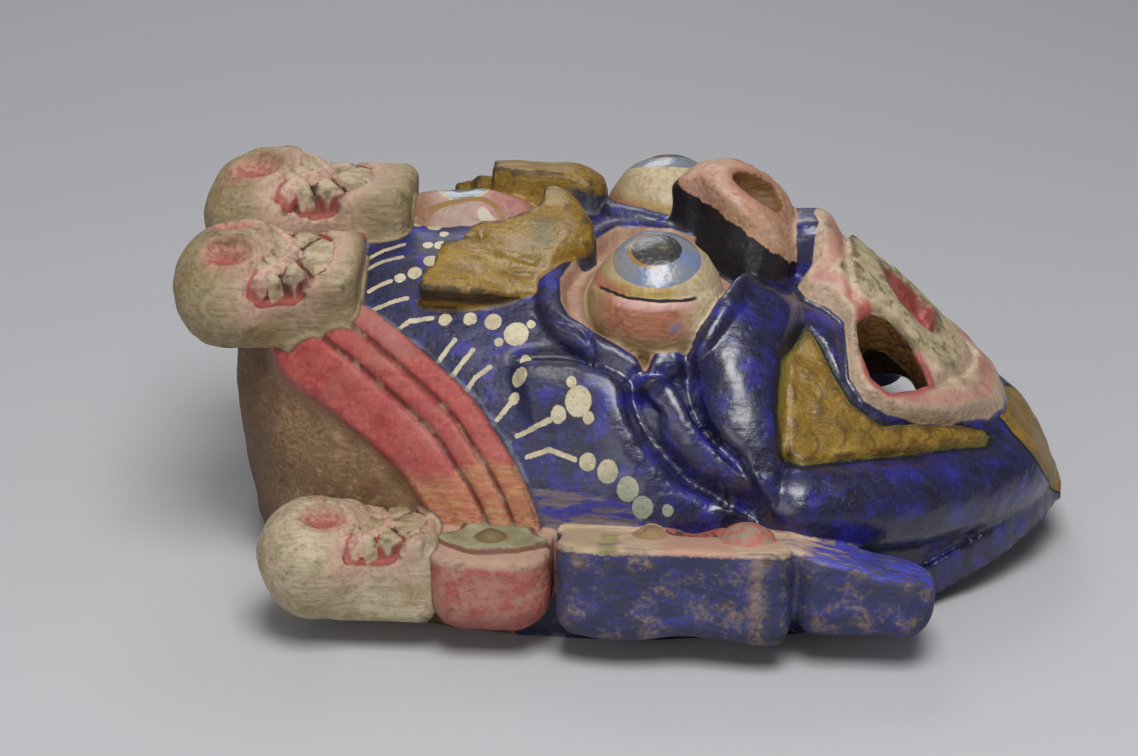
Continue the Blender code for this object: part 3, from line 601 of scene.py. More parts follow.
def ear(x, out, z):
    """The ear: a long bar with a hollow in its upper side, and a lobe that hangs clear of the jaw."""
    form = box(*between(x, out, z, EAR), EAR_ROUND)
    form = form + EAR_WAVE * np.cos((x - EAR_WAVE_AT) / EAR_WAVE_LONG)
    lobe = box(*between(x, out, z, LOBE), LOBE_ROUND)
    form = np.minimum(form, lobe) + EAR_NOTCH_DEEP * notch(np.abs(x - EAR_NOTCH) / EAR_NOTCH_HALF)
    form = without(form, ear_top(x, out) - z, 3)
    form = without(form, egg(*local(x, out, z, EAR_HOLLOW_AT), EAR_HOLLOW_SIZE), 1.5)
    form = without(form, egg(*local(x, out, z, EAR_DIP_AT), EAR_DIP_SIZE), 1)
    form = joined(form, egg(*local(x, out, z, EAR_CURL_AT), EAR_CURL_SIZE), 1)
    form = without(form, egg(*local(x, out, z, EAR_CURL_HOLE_AT), EAR_CURL_HOLE_SIZE), 0.5)
    return joined(form, egg(*local(x, out, z, EAR_KNOB_AT), EAR_KNOB_SIZE), 1)


def lozenge(x, out, z):
    """Distance outside the pointed panel on the earring, seen from above."""
    x, out, _, _ = between(x, out - LOZENGE_OUT, z, EARRING)
    long, wide = LOZENGE_HALVES
    return (np.abs(out) / wide + (x / long) ** 2 - 1) * wide * LOZENGE_SLOPE


def earring(x, out, z):
    """A barrel of a block with a low lozenge on its upper side, and a knob on that."""
    panel = lozenge(x, out, z)
    form = without(box(*between(x, out, z, EARRING), EARRING_ROUND), EARRING_TOP - z, 3)
    over = z - EARRING_TOP
    form = np.minimum(form, np.maximum(panel, np.abs(over) - LOZENGE_RISE))
    x, out, _, _ = between(x, out - LOZENGE_OUT, z, EARRING)
    return joined(form, egg(x, out, over, LOZENGE_KNOB), 1)


def near(x, y, z, centre, reach):
    """The points within reach of a centre, so that a form is worked out only there."""
    a, b, c = centre
    return np.flatnonzero((x - a) ** 2 + (y - b) ** 2 + (z - c) ** 2 < reach ** 2)


def hollowed(x, y, z, v):
    """The inside of the mask: negative in the open hollow."""
    behind_mouth = eased(outlined(x, v, both_sides(LIPS)), 2, -14)
    tool_cuts = gouges(x + 7 * np.sin(v / 23), v * 1.1, HOLLOW_CUT_LONG, HOLLOW_CUT_WIDE)
    return head(x, y, z, WALL) - MOUTH_HOLLOW * behind_mouth + HOLLOW_CUT_DEEP * tool_cuts


# where each form is worked out: within this of its centre, or within these limits
NOSE_REACH, EYE_REACH, THIRD_EYE_REACH, NOSTRIL_REACH = 45, 40, 45, 20
BROW_X, BROW_V = (-60, 25), 70
JAW_FROM, JAW_UNDER, JAW_WITHIN = 55, 70, 112
EARRING_X, EARRING_UNDER, EARS_FROM = (-50, 15), 60, 75
EAR_X, EAR_UNDER = (-8, 140), 65
HOLE_X, HOLE_V = (90, 136), 80
ARCH_X, ARCH_UNDER, ARCH_SIDE = (90, 138), 45, 5
# how soft each form's joint with the head is
BRIDGE_SOFT, EYE_SOFT, JAW_SOFT, CHIN_SOFT, SKULL_SOFT = 2, 1.5, 5, 4, 1
EARRING_SOFT, EAR_SOFT, NOSTRIL_SOFT, HOLE_SOFT, ARCH_SOFT = 1, 1.5, 1, 1.5, 1


def spanned(value, limits):
    """Whether each value lies between two limits."""
    return (value > limits[0]) & (value < limits[1])


def carved(x, y, z):
    """The distance outside the whole carving, at each point."""
    out, v = np.abs(y), unrolled(y, z)
    skin = head(x, y, z)
    wood = skin - FACE.at(x, v)

    at = np.flatnonzero(spanned(x, BROW_X) & (v < BROW_V))
    wood[at] = np.minimum(wood[at], brow(x[at], y[at], v[at], skin[at]))
    at = near(x, out, z, NOSE_CAP_AT, NOSE_REACH)
    wood[at] = np.minimum(wood[at], nose(x[at], out[at], z[at]))
    bridge = box(*local(x[at], out[at], z[at], UNDER_NOSE_AT), UNDER_NOSE_HALVES, UNDER_NOSE_ROUND)
    wood[at] = joined(wood[at], bridge, BRIDGE_SOFT)
    at = near(x, out, z, EYE_AT, EYE_REACH)
    wood[at] = joined(wood[at], eye(x[at], out[at], z[at]), EYE_SOFT)
    at = near(x, y, z, THIRD_EYE_AT, THIRD_EYE_REACH)
    wood[at] = joined(wood[at], egg(*local(x[at], y[at], z[at], THIRD_EYE_AT), THIRD_EYE_SIZE), EYE_SOFT)
    at = np.flatnonzero((x > JAW_FROM) & (z < JAW_UNDER) & (out < JAW_WITHIN))
    wood[at] = joined(wood[at], rope(x[at], out[at], z[at], JAW, JAW_THICK), JAW_SOFT)
    rim = rim_height(x)
    rim_band = np.maximum(z - rim - RIM_BAND, RIM_BAND_FROM - x)
    wood = np.minimum(wood, np.maximum(skin - RIM_BAND_RISE, rim_band))
    wood = without(wood, CHIN_FLAT_OFF - CHIN_FLAT_TURN[0] * x - CHIN_FLAT_TURN[1] * z, CHIN_SOFT)
    for place, size, roll, slide in SKULLS:
        at = near(x, out, z, place, SKULL_REACH * size)
        form = skull(x[at], out[at], z[at], place, size, roll, slide)
        if place[2] > SKULL_FOOT:
            form = np.maximum(form, SKULL_FOOT - z[at])
        wood[at] = joined(wood[at], form, SKULL_SOFT)
    at = np.flatnonzero((out > EARS_FROM) & spanned(x, EARRING_X) & (z < EARRING_UNDER))
    wood[at] = joined(wood[at], earring(x[at], out[at], z[at]), EARRING_SOFT)
    at = np.flatnonzero((out > EARS_FROM) & spanned(x, EAR_X) & (z < EAR_UNDER))
    wood[at] = joined(wood[at], ear(x[at], out[at], z[at]), EAR_SOFT)

    at = near(x, out, z, NOSTRIL_AT, NOSTRIL_REACH)
    wood[at] = without(wood[at], nostril(x[at], out[at], z[at]), NOSTRIL_SOFT)
    for high, long, turn in UNEVEN:
        wood = wood + high * uneven(x, y, z, long, turn)
    wood = np.maximum(wood, -hollowed(x, y, z, v))
    at = np.flatnonzero(spanned(x, HOLE_X) & (v < HOLE_V))
    wood[at] = without(wood[at], outlined(x[at], v[at], CORNER_HOLE), HOLE_SOFT)
    wood = np.maximum(wood, np.where(rim > 0, rim, -AWAY) - z)
    at = np.flatnonzero((y > ARCH_FROM - ARCH_SIDE) & spanned(x, ARCH_X) & (z < ARCH_UNDER))
    wood[at] = without(wood[at], rim_arch(x[at], y[at], z[at]), ARCH_SOFT)
    return wood


# --- the mesh ---------------------------------------------------------------------------------------

LOW = np.array([-146.0, -136.0, -6.6])
HIGH = np.array([186.0, 136.0, 148.0])
BLOCKS = (4, 2, 1)  # the grid is worked out in blocks this many points wide, kept only near the surface
REACH = (9.0, 5.0)  # how near the middle of a block must be for it to be split


def distance_grid():
    """Distances on the whole fine grid: exact near the surface, and rough away from it."""
    counts = np.ceil((HIGH - LOW) / (GRID * BLOCKS[0])).astype(int)
    corners = np.stack(np.meshgrid(*(np.arange(n) for n in counts), indexing="ij"), -1).reshape(-1, 3)
    grid = None
    for wide, reach in zip(BLOCKS, REACH + (None,)):
        middle = LOW + GRID * (corners * wide + (wide - 1) / 2)
        distances = carved(*middle.T).astype(np.float32)
        if grid is None:
            grid = distances.reshape(counts)
        else:
            grid = grid.repeat(2, 0).repeat(2, 1).repeat(2, 2)
            grid[tuple(corners.T)] = distances
        if reach:
            kept = corners[np.abs(distances) < reach]
            halves = np.array([(i, j, k) for i in (0, 1) for j in (0, 1) for k in (0, 1)])
            corners = (kept[:, None, :] * 2 + halves).reshape(-1, 3)
    return grid


def meshed(distances):
    """A mesh of the surface where the distance is zero, in millimetres from the working origin."""
    grid = openvdb.FloatGrid(background=AWAY)
    grid.copyFromArray(np.clip(distances, -AWAY, AWAY))
    points, triangles, quads = grid.convertToPolygons(isovalue=0.0, adaptivity=0.0)
    mesh = bpy.data.meshes.new("mask_fine")
    mesh.from_pydata((points * GRID + LOW).tolist(), [], [f[::-1].tolist() for f in (*triangles, *quads)])
    return mesh


def points_of(mesh):
    """The places of a mesh's points, one in each row."""
    points = np.empty(len(mesh.vertices) * 3, np.float32)
    mesh.vertices.foreach_get("co", points)
    return points.reshape(-1, 3).astype(float)


def thinned(mesh):
    """The mesh with fewer triangles: first inside the hollow, then everywhere."""
    piece = bpy.data.objects.new("mask_fine", mesh)
    bpy.context.collection.objects.link(piece)
    x, y, z = points_of(mesh).T
    inside = hollowed(x, y, z, unrolled(y, z)) < INSIDE_WITHIN
    group = piece.vertex_groups.new(name="hidden_side")
    group.add(np.flatnonzero(inside).tolist(), 1.0, "REPLACE")
    whole = sum(len(face.vertices) - 2 for face in mesh.polygons)
    hidden = whole * np.count_nonzero(inside) / len(inside)
    first = 1 - (hidden - INSIDE_TRIANGLES) / whole
    for name, ratio in (("hidden_side", first), ("", MOST_TRIANGLES / (whole * first))):
        thin = piece.modifiers.new("thin", "DECIMATE")
        thin.ratio = ratio
        thin.use_collapse_triangulate = True
        thin.vertex_group = name
    bpy.context.view_layer.update()
    evaluated = piece.evaluated_get(bpy.context.evaluated_depsgraph_get())
    made = bpy.data.meshes.new_from_object(evaluated)
    bpy.data.objects.remove(piece)
    return made


# --- what is painted where: distances to the edges of the painted areas --------------------------

GAZE_TILT = math.radians(19)  # the eyes look up and a little outwards
IRIS, IRIS_INNER, PUPIL = (38.5, 37.5), (24, 22.5), (20.5, 19.5)  # degrees from the gaze
THIRD_IRIS_AT, THIRD_IRIS_RIM, THIRD_IRIS, THIRD_PUPIL = (-37.5, 2.5, 0), (9.4, 8.9), (8.2, 7.7), (4.4, 4.0)
THIRD_LID = ((-48, -9), (-40, -6.5), (-30, -5), (-22, -10), (-16, -20))
THIRD_WHITE = ((-30, -9.5), (-25, -12), (-20, -18))
DOTS = (  # places on the unrolled face, and radii
    (-52.2, 9.0, 1.9), (-46.2, 10.6, 2.7), (-42.3, 16.2, 1.6), (-47.2, 22.5, 1.7), (-42.8, 22.4, 2.2),
    (-45.2, 30.7, 2.5), (-50.1, 35.9, 2.4), (-55.0, 37.9, 1.9),
    (-37.8, 54.7, 2.2), (-29.3, 54.6, 2.3), (-21.4, 55.7, 2.9), (-13.3, 60.1, 4.1), (-8.5, 56.6, 1.4),
    (-18.9, 62.9, 1.5), (-9.6, 68.7, 2.0), (-10.9, 75.7, 2.5), (-12.7, 81.1, 1.8), (2.5, 86.5, 2.5),
    (9.0, 82.9, 4.3), (6.5, 77.5, 1.6), (12.5, 87.6, 1.8), (12.6, 100.2, 2.7), (19.3, 103.0, 3.4),
    (26.1, 108.1, 3.6), (31.1, 113.4, 3.4), (39.4, 114.1, 1.8))
LINES = (
    ((-64.5, 17.3), (-59.3, 15.4), (-54.9, 12.8)), ((-67.7, 28.4), (-62.3, 23.6), (-55.6, 21.8)),
    ((-67.8, 33.4), (-62.2, 30.0), (-55.5, 28.3)), ((-65.3, 42.1), (-61.9, 40.2), (-58.1, 39.1)),
    ((-63.1, 49.6), (-57.5, 47.6), (-51.7, 46.2)), ((-55.2, 58.7), (-49.8, 54.8), (-42.3, 54.0)),
    ((-39.7, 70.1), (-33.8, 62.1)), ((-34.1, 73.9), (-27.4, 65.6)),
    ((-29.6, 79.5), (-26.1, 74.6), (-21.3, 71.1)), ((-18.1, 87.5), (-14.6, 83.5), (-12.7, 81.1)),
    ((-11.2, 92.4), (-6.3, 90.5), (-0.4, 88.0)),
    ((-7.6, 98.8), (0.0, 96.6), (8.3, 99.4)))
LINE_HALF = 0.75
SKULL_PAINT_FOOT = 5.0  # a skull's face is painted above this
SOCKET_SLOPE = 8.0  # turns a skull socket's share into a distance
BARE_TEMPLE = ((-9, 107), (-4, 109), (4, 108.5), (17, 110), (28, 113), (34, 121), (-8, 124))
GOATEE = ((154, 0), (154, 24), (151, 36), (158, 48), (164, 64), (169, 74), (175, 70), (180, 50), (182, 0))


def skull_areas(x, out, z):
    """The painted areas of whichever skull is nearest."""
    found = None
    for place, size, roll, slide in SKULLS:
        form = skull(x, out, z, place, size, roll, slide)
        if place[2] > SKULL_FOOT:
            form = np.maximum(form, SKULL_FOOT - z)
        a, b, c = local(x, out, z, place, turned(angle_x=-roll), size)
        a = a - slide
        side = np.abs(b)
        below = SKULL_PAINT_FOOT - c
        eye_a, eye_b = ((c - at) / reach for c, at, reach in zip((a, side), SKULL_EYE_AT, SKULL_EYE_SIZE))
        areas = {
            "skulls": form,
            "skull_mouths": np.maximum(outlined(a, b, both_sides(SKULL_MOUTH)), below),
            "skull_teeth": skull_teeth(a, side),
            "skull_depths": SKULL_FACE.at(a, side),
            "skull_sockets": np.maximum((np.hypot(eye_a, eye_b) - 1) * SOCKET_SLOPE, below),
        }
        if found is None:
            found = areas
        else:
            closer = areas["skulls"] < found["skulls"]
            found = {name: np.where(closer, areas[name], found[name]) for name in areas}
    return found


def painted_areas(x, y, z):
    """Every painted area, as the distance outside its edge in millimetres."""
    out, v = np.abs(y), unrolled(y, z)
    skin = head(x, y, z)
    depth = FACE.at(x, v) - skin
    eye_x, eye_out, eye_z = local(x, out, z, EYE_AT)
    third_x, third_y, third_z = local(x, y, z, THIRD_EYE_AT)
    outward, up = math.sin(GAZE_TILT), math.cos(GAZE_TILT)
    gaze = np.arctan2(np.hypot(eye_x, eye_out * up - eye_z * outward), eye_out * outward + eye_z * up)
    hole = outlined(x, v, CORNER_HOLE)
    areas = {
        "around": v,
        "band": beside(x, v, BAND_ROUTE),
        "brows": brow(x, y, v, skin),
        "brow_tops": skin - brow_plan(x, y, v)[1],
        "sockets": outlined(x, v, SOCKET),
        "eyes": egg(eye_x, eye_out, eye_z, EYE_SIZE),
        "gaze": np.degrees(gaze),
        "third_eye": egg(third_x, third_y, third_z, THIRD_EYE_SIZE),
        "nose": nose(x, out, z),
        "nostrils": nostril(x, out, z),
        "lips": outlined(x, v, both_sides(LIPS)),
        "mouth_hole": hole,
        "hole_wall": np.maximum(hole - 0.9, 1.6 - depth),
        "middle_hole": outlined(x, v, both_sides(MIDDLE_HOLE)),
        "beard": outlined(x, v, BEARD),
        "goatee": outlined(x, v, both_sides(GOATEE)),
        "bare_temple": outlined(x, v, BARE_TEMPLE),
        "earrings": earring(x, out, z),
        "lozenges": np.maximum(lozenge(x, out, z), EARRING_TOP - 2 - z),
        "ears": ear(x, out, z),
        "ear_tops": ear_top(x, out) - z,
        "ear_knobs": egg(*local(x, out, z, EAR_KNOB_AT), EAR_KNOB_SIZE),
        "ear_hollows": egg(*local(x, out, z, EAR_HOLLOW_AT), EAR_HOLLOW_SIZE),
        "ear_curls": egg(*local(x, out, z, EAR_CURL_AT), EAR_CURL_SIZE),
        "inside": hollowed(x, y, z, v),
    }
    areas.update(skull_areas(x, out, z))
    return areas


def hollowness(points, normals, edges):
    """How far each point lies below the surface around it."""
    a, b = edges.T
    count = np.bincount(a, minlength=len(points)) + np.bincount(b, minlength=len(points))
    smooth = points.copy()
    for _ in range(GROOVE_PASSES):
        for axis in range(3):
            column = smooth[:, axis]
            total = np.bincount(a, column[b], len(points)) + np.bincount(b, column[a], len(points))
            smooth[:, axis] = 0.5 * column + 0.5 * total / count
    return ((smooth - points) * normals).sum(1)


def keep(mesh, name, values):
    """Keeps a painted area on the mesh's points."""
    attribute = mesh.attributes.new(name, "FLOAT", "POINT")
    attribute.data.foreach_set("value", np.clip(values, -FAR * 4, FAR * 4).astype(np.float32))


def make_mask():
    """The carved mask, with its painted areas kept on its points, in its place in metres."""
    mesh = thinned(meshed(distance_grid()))
    mesh.name = "carved_mask"
    points = points_of(mesh)
    for name, values in painted_areas(*points.T).items():
        keep(mesh, name, values)
    normals = np.empty(len(points) * 3, np.float32)
    mesh.vertex_normals.foreach_get("vector", normals)
    edges = np.empty(len(mesh.edges) * 2, np.int32)
    mesh.edges.foreach_get("vertices", edges)
    keep(mesh, "grooves", hollowness(points, normals.reshape(-1, 3), edges.reshape(-1, 2)))
    low, high = (np.array(corner) for corner in cad_box)
    placed = np.clip((points - (MIDDLE_X, 0, 0)) * MM, low, high)
    mesh.vertices.foreach_set("co", placed.astype(np.float32).ravel())
    mesh.update()
    mesh.shade_smooth()
    piece = bpy.data.objects.new("carved_mask", mesh)
    bpy.context.collection.objects.link(piece)
    return piece


# --- the material -----------------------------------------------------------------------------------

# the roughness of each kind of coat, from dirt in a groove to varnish on an iris
DUSTY, RAW, RUBBED, CHALKY, DRY, DULL = 0.8, 0.75, 0.7, 0.65, 0.6, 0.55
SATIN, SMOOTH, GILT, BRUSHED, WET, GLASSY = 0.5, 0.45, 0.42, 0.4, 0.3, 0.22


class Flow:
    """A socket of the material. Sums on it add Math nodes."""

    def __init__(self, paint, socket):
        self.paint, self.socket = paint, socket

    def math(self, operation, *values):
        return self.paint.node("ShaderNodeMath", {"operation": operation}, dict(enumerate(values)))

    def __add__(self, other):
        return self.math("ADD", self, other)

    def __sub__(self, other):
        return self.math("SUBTRACT", self, other)

    def __rsub__(self, other):
        return self.math("SUBTRACT", other, self)

    def __mul__(self, other):
        return self.math("MULTIPLY", self, other)

    def __abs__(self):
        return self.math("ABSOLUTE", self)

    __radd__, __rmul__ = __add__, __mul__

    def lower(self, other):
        return self.math("MINIMUM", self, other)

    def higher(self, other):
        return self.math("MAXIMUM", self, other)


def tone(code):
    """A linear colour from a hexadecimal one."""
    parts = [int(code[i:i + 2], 16) / 255 for i in (1, 3, 5)]
    return tuple(p / 12.92 if p <= 0.04045 else ((p + 0.055) / 1.055) ** 2.4 for p in parts) + (1.0,)


class Paint:
    """One material, and the ways of adding nodes to it."""

    def __init__(self, name):
        self.material = bpy.data.materials.new(name)
        self.material.use_nodes = True
        self.tree = self.material.node_tree
        self.shader = self.tree.nodes["Principled BSDF"]

    def node(self, kind, settings=None, values=None, output=0):
        node = self.tree.nodes.new(kind)
        for name, setting in (settings or {}).items():
            setattr(node, name, setting)
        for name, value in (values or {}).items():
            self.feed(node.inputs[name], value)
        return Flow(self, node.outputs[output])

    def feed(self, socket, value):
        if isinstance(value, Flow):
            self.tree.links.new(value.socket, socket)
        else:
            socket.default_value = value

    def mix(self, share, first, second):
        """First where share is 0, second where it is 1."""
        first, second = (tone(c) if isinstance(c, str) else c for c in (first, second))
        return self.node("ShaderNodeMix", {"data_type": "RGBA"}, {0: share, 6: first, 7: second}, 2)

    def ramp(self, value, start, end):
        """0 up to start and 1 from end, smooth between. End may be below start."""
        return self.node("ShaderNodeMapRange", {"interpolation_type": "SMOOTHSTEP"},
                         {0: value, 1: start, 2: end, 3: 0.0, 4: 1.0})

    def mottled(self, colour, *coats):
        """A colour with others over it, each laid as its cloud rises from start to end."""
        for cloud, start, end, most, over in coats:
            share = self.ramp(cloud, start, end)
            colour = self.mix(share if most == 1 else share * most, colour, over)
        return colour


class Coats:
    """The coats of colour on the wood, laid one over another."""

    def __init__(self, paint, colour, roughness, gloss):
        self.paint, self.colour, self.roughness, self.gloss = paint, colour, roughness, gloss

    def lay(self, share, colour, roughness, gloss=0.0):
        self.colour = self.paint.mix(share, self.colour, colour)
        self.roughness = self.roughness + share * (roughness - self.roughness)
        self.gloss = self.gloss + share * (gloss - self.gloss)


class MaskPaint(Paint):
    """The paint of the whole mask."""

    def __init__(self, names):
        super().__init__("painted_wood")
        metres = self.node("ShaderNodeTexCoord", output="Object")
        self.place = self.node("ShaderNodeVectorMath", {"operation": "SCALE"}, {0: metres, "Scale": 1 / MM})
        self.areas = {name: self.node("ShaderNodeAttribute", {"attribute_name": name}, output="Fac")
                      for name in names}
        split = self.node("ShaderNodeSeparateXYZ", {}, {0: self.place})
        self.x = split + MIDDLE_X
        self.y = Flow(self, split.socket.node.outputs[1])
        self.out = abs(self.y)
        self.z = Flow(self, split.socket.node.outputs[2])
        self.around = self.out.math("ARCTAN2", self.out, self.z) * UNROLLED
        self.cloud, self.patch, self.blot = self.noise(30, 3), self.noise(9, 4, 0.6), self.noise(4.5, 4, 0.6)
        self.speck, self.crumb = self.noise(1.8, 3, 0.6), self.noise(0.6, 2, 0.6)
        self.grain = self.noise(1.2, 4, 0.65, self.stretched(0.08, 1, 1))
        self.streak = self.noise(2.6, 3, 0.6, self.stretched(0.2, 1, 1))
        self.dents = self.cells(3.2)
        self.wander = (self.patch - 0.5) * 1.8 + (self.speck - 0.5) * 1.2  # how far a painted edge strays
        self.shift = (self.speck - 0.5) * 0.8
        self.shares = {}

    def stretched(self, x, y, z):
        return self.node("ShaderNodeVectorMath", {"operation": "MULTIPLY"}, {0: self.place, 1: (x, y, z)})

    def noise(self, long, detail=3.0, rough=0.5, place=None):
        """Clouds about this many millimetres across, from 0 to 1 and mostly near a half."""
        return self.node("ShaderNodeTexNoise", {}, {
            "Vector": place or self.place, "Scale": 1 / long, "Detail": detail, "Roughness": rough})

    def cells(self, long):
        """Distance to the nearest of many scattered points, about this many millimetres apart."""
        return self.node("ShaderNodeTexVoronoi", {}, {"Vector": self.place, "Scale": 1 / long}, "Distance")

    def vector(self, operation, first, second, output="Vector"):
        return self.node("ShaderNodeVectorMath", {"operation": operation}, {0: first, 1: second}, output)

    def flat(self, x, y):
        return self.node("ShaderNodeCombineXYZ", {}, {0: x, 1: y, 2: 0.0})

    def from_line(self, place, route, nearest, legs=2):
        """Distance from a smooth line, or the nearest so far if that is less."""
        route = smooth_route(route, legs) if len(route) > 2 else np.array(route, float)
        for start, end in zip(route, route[1:]):
            run = Vector((*(end - start), 0.0))
            from_start = self.vector("SUBTRACT", place, Vector((*start, 0.0)))
            share = self.vector("DOT_PRODUCT", from_start, run / run.length_squared, "Value")
            share = self.node("ShaderNodeClamp", {}, {"Value": share})
            along = self.node("ShaderNodeVectorMath", {"operation": "SCALE"}, {0: run, "Scale": share})
            nearest = self.vector("DISTANCE", from_start, along, "Value").lower(nearest)
        return nearest

    def drawn(self):
        """Distance outside the cream dots and lines."""
        place = self.flat(self.x + self.shift, self.around + self.shift)
        nearest = FAR
        for route in LINES:
            nearest = self.from_line(place, route, nearest, 1)
        nearest = nearest - LINE_HALF
        for u, v, radius in DOTS:
            nearest = nearest.lower(self.vector("DISTANCE", place, (u, v, 0), "Value") - radius)
        return nearest

    def within(self, name, edge, soft, stray):
        """1 inside a painted area, whose edge is this far out, this soft, and strays by this share."""
        key = (name, edge, soft, stray)
        if key not in self.shares:
            self.shares[key] = self.ramp(self.areas[name] + self.wander * stray, edge + soft, edge - soft)
        return self.shares[key]

    def spots(self, cloud, most, soft=0.06):
        """Where a cloud rises above this."""
        return self.ramp(cloud, most - soft, most + soft)

    def span(self, value, low, high, soft):
        """1 between two limits, with edges this soft."""
        return self.ramp(value, low - soft, low + soft) * self.ramp(value, high + soft, high - soft)

    # ---- the finishes

    def bare_wood(self):
        return self.mottled("#9a7a57", (self.grain, 0.32, 0.68, 1, "#6a4d32"),
                            (self.cloud, 0.42, 0.62, 0.7, "#74573b"),
                            (self.patch, 0.52, 0.64, 0.5, "#5a3f28"),
                            (self.streak, 0.54, 0.66, 0.5, "#a88e6a"))

    def blue(self):
        """Deep lacquer: near black in places, with brighter ultramarine where it lies thick."""
        return self.mottled("#100e24", (self.cloud, 0.35, 0.65, 1, "#17153e"),
                            (self.streak, 0.35, 0.7, 0.6, "#1b194c"),
                            (self.patch, 0.46, 0.7, 0.8, "#242188"),
                            (self.blot, 0.56, 0.72, 0.2, "#36364c"),
                            (self.crumb, 0.57, 0.67, 0.35, "#545260"))

    def red(self):
        return self.mottled("#9b3b38", (self.patch, 0.35, 0.65, 1, "#a54a42"),
                            (self.speck, 0.39, 0.71, 0.4, "#ae6a5b"),
                            (self.blot, 0.47, 0.67, 0.6, "#8a2f2d"),
                            (self.streak, 0.51, 0.63, 0.45, "#7e2a2a"),
                            (self.cloud, 0.47, 0.63, 0.5, "#9c6e63"))

    def gold(self):
        return self.mottled("#846522", (self.grain, 0.35, 0.65, 1, "#6b4f14"),
                            (self.patch, 0.4, 0.68, 0.7, "#95762c"),
                            (self.blot, 0.54, 0.66, 0.55, "#5b451d"),
                            (self.crumb, 0.57, 0.67, 0.5, "#b3964c"))

    def cream(self):
        return self.mottled("#c0b598", (self.patch, 0.4, 0.62, 1, "#ada07f"),
                            (self.speck, 0.54, 0.66, 0.4, "#93815c"))


def paint_crown(p, coats):
    """The bare wall beyond the band, and the band, worn to the wood at its lower ends."""
    band, around = p.areas["band"] + p.wander * 0.4, p.areas["around"]
    # The bare wood is darker towards the crown end and low down near the floor: painted shade.
    wood = p.mottled(p.bare_wood(), (p.x + p.wander * 6, -84, -106, 0.6, "#523a28"),
                     (p.z + p.wander * 6, 26, 4, 0.4, "#4b3626"))
    coats.lay(p.ramp(band, -BAND_HALF + 0.4, -BAND_HALF - 0.4), wood, RAW)
    edge = p.ramp(p.areas["band"] + p.wander * 0.5, -BAND_HALF - 3, -BAND_HALF - 0.6)
    coats.lay(edge * p.ramp(p.areas["band"], -BAND_HALF + 0.3, -BAND_HALF) * 0.5, "#8f6b4c", RAW)
    on_band = p.ramp(abs(p.areas["band"]) + p.wander * 0.3, BAND_HALF + 0.4, BAND_HALF - 0.4)
    coats.lay(on_band, p.red(), DRY)
    worn = p.ramp(around + (p.patch - 0.5) * 16 + p.x * 0.12, 98.5, 101.5)
    tan = p.mottled("#b08058", (p.grain, 0.4, 0.62, 1, "#9c6846"), (p.streak, 0.47, 0.63, 0.6, "#a65046"))
    coats.lay(on_band * worn * p.spots(p.streak + (p.patch - 0.5) * 0.4, 0.36), tan, RAW)
    for at in BAND_GROOVES_AT:
        groove = p.ramp(abs(p.areas["band"] - at - 0.3) + p.wander * 0.2, 1.3, 0.5)
        coats.lay(on_band * groove * 0.8, p.mix(p.spots(p.patch, 0.56), "#5d201b", "#7d6a58"), RAW)
        lit = p.ramp(abs(p.areas["band"] - at + 1.6) + p.wander * 0.2, 0.8, 0.3)
        coats.lay(on_band * lit * p.spots(p.patch, 0.5) * 0.3, "#ad7a66", RUBBED)
    dusty = p.ramp(abs(p.areas["band"] - BAND_HALF - 0.8) + p.wander * 0.4, 1.3, 0.3)
    coats.lay(dusty * 0.7, p.mix(p.spots(p.patch, 0.5), "#40404c", "#6f6f78"), DUSTY)


def paint_marks(p, coats):
    """The cream dots and strokes on the forehead and temples."""
    cream = p.mix(p.ramp(p.areas["around"], 98, 112), p.cream(), "#8f9684")
    drawn = p.drawn() + (p.crumb - 0.5) * 0.5
    coats.lay(p.ramp(drawn, 0.2, -0.1) * p.ramp(p.crumb, 0.3, 0.36), cream, SATIN)


def paint_temple(p, coats):
    """The worn patch beside the ear, where the wood shows through streaks of blue."""
    bare = p.mottled("#6f6266", (p.grain, 0.4, 0.6, 1, "#574c58"), (p.streak, 0.45, 0.61, 1, "#2f2d80"))
    coats.lay(p.within("bare_temple", 0, 0.4, 1.6), bare, RAW)


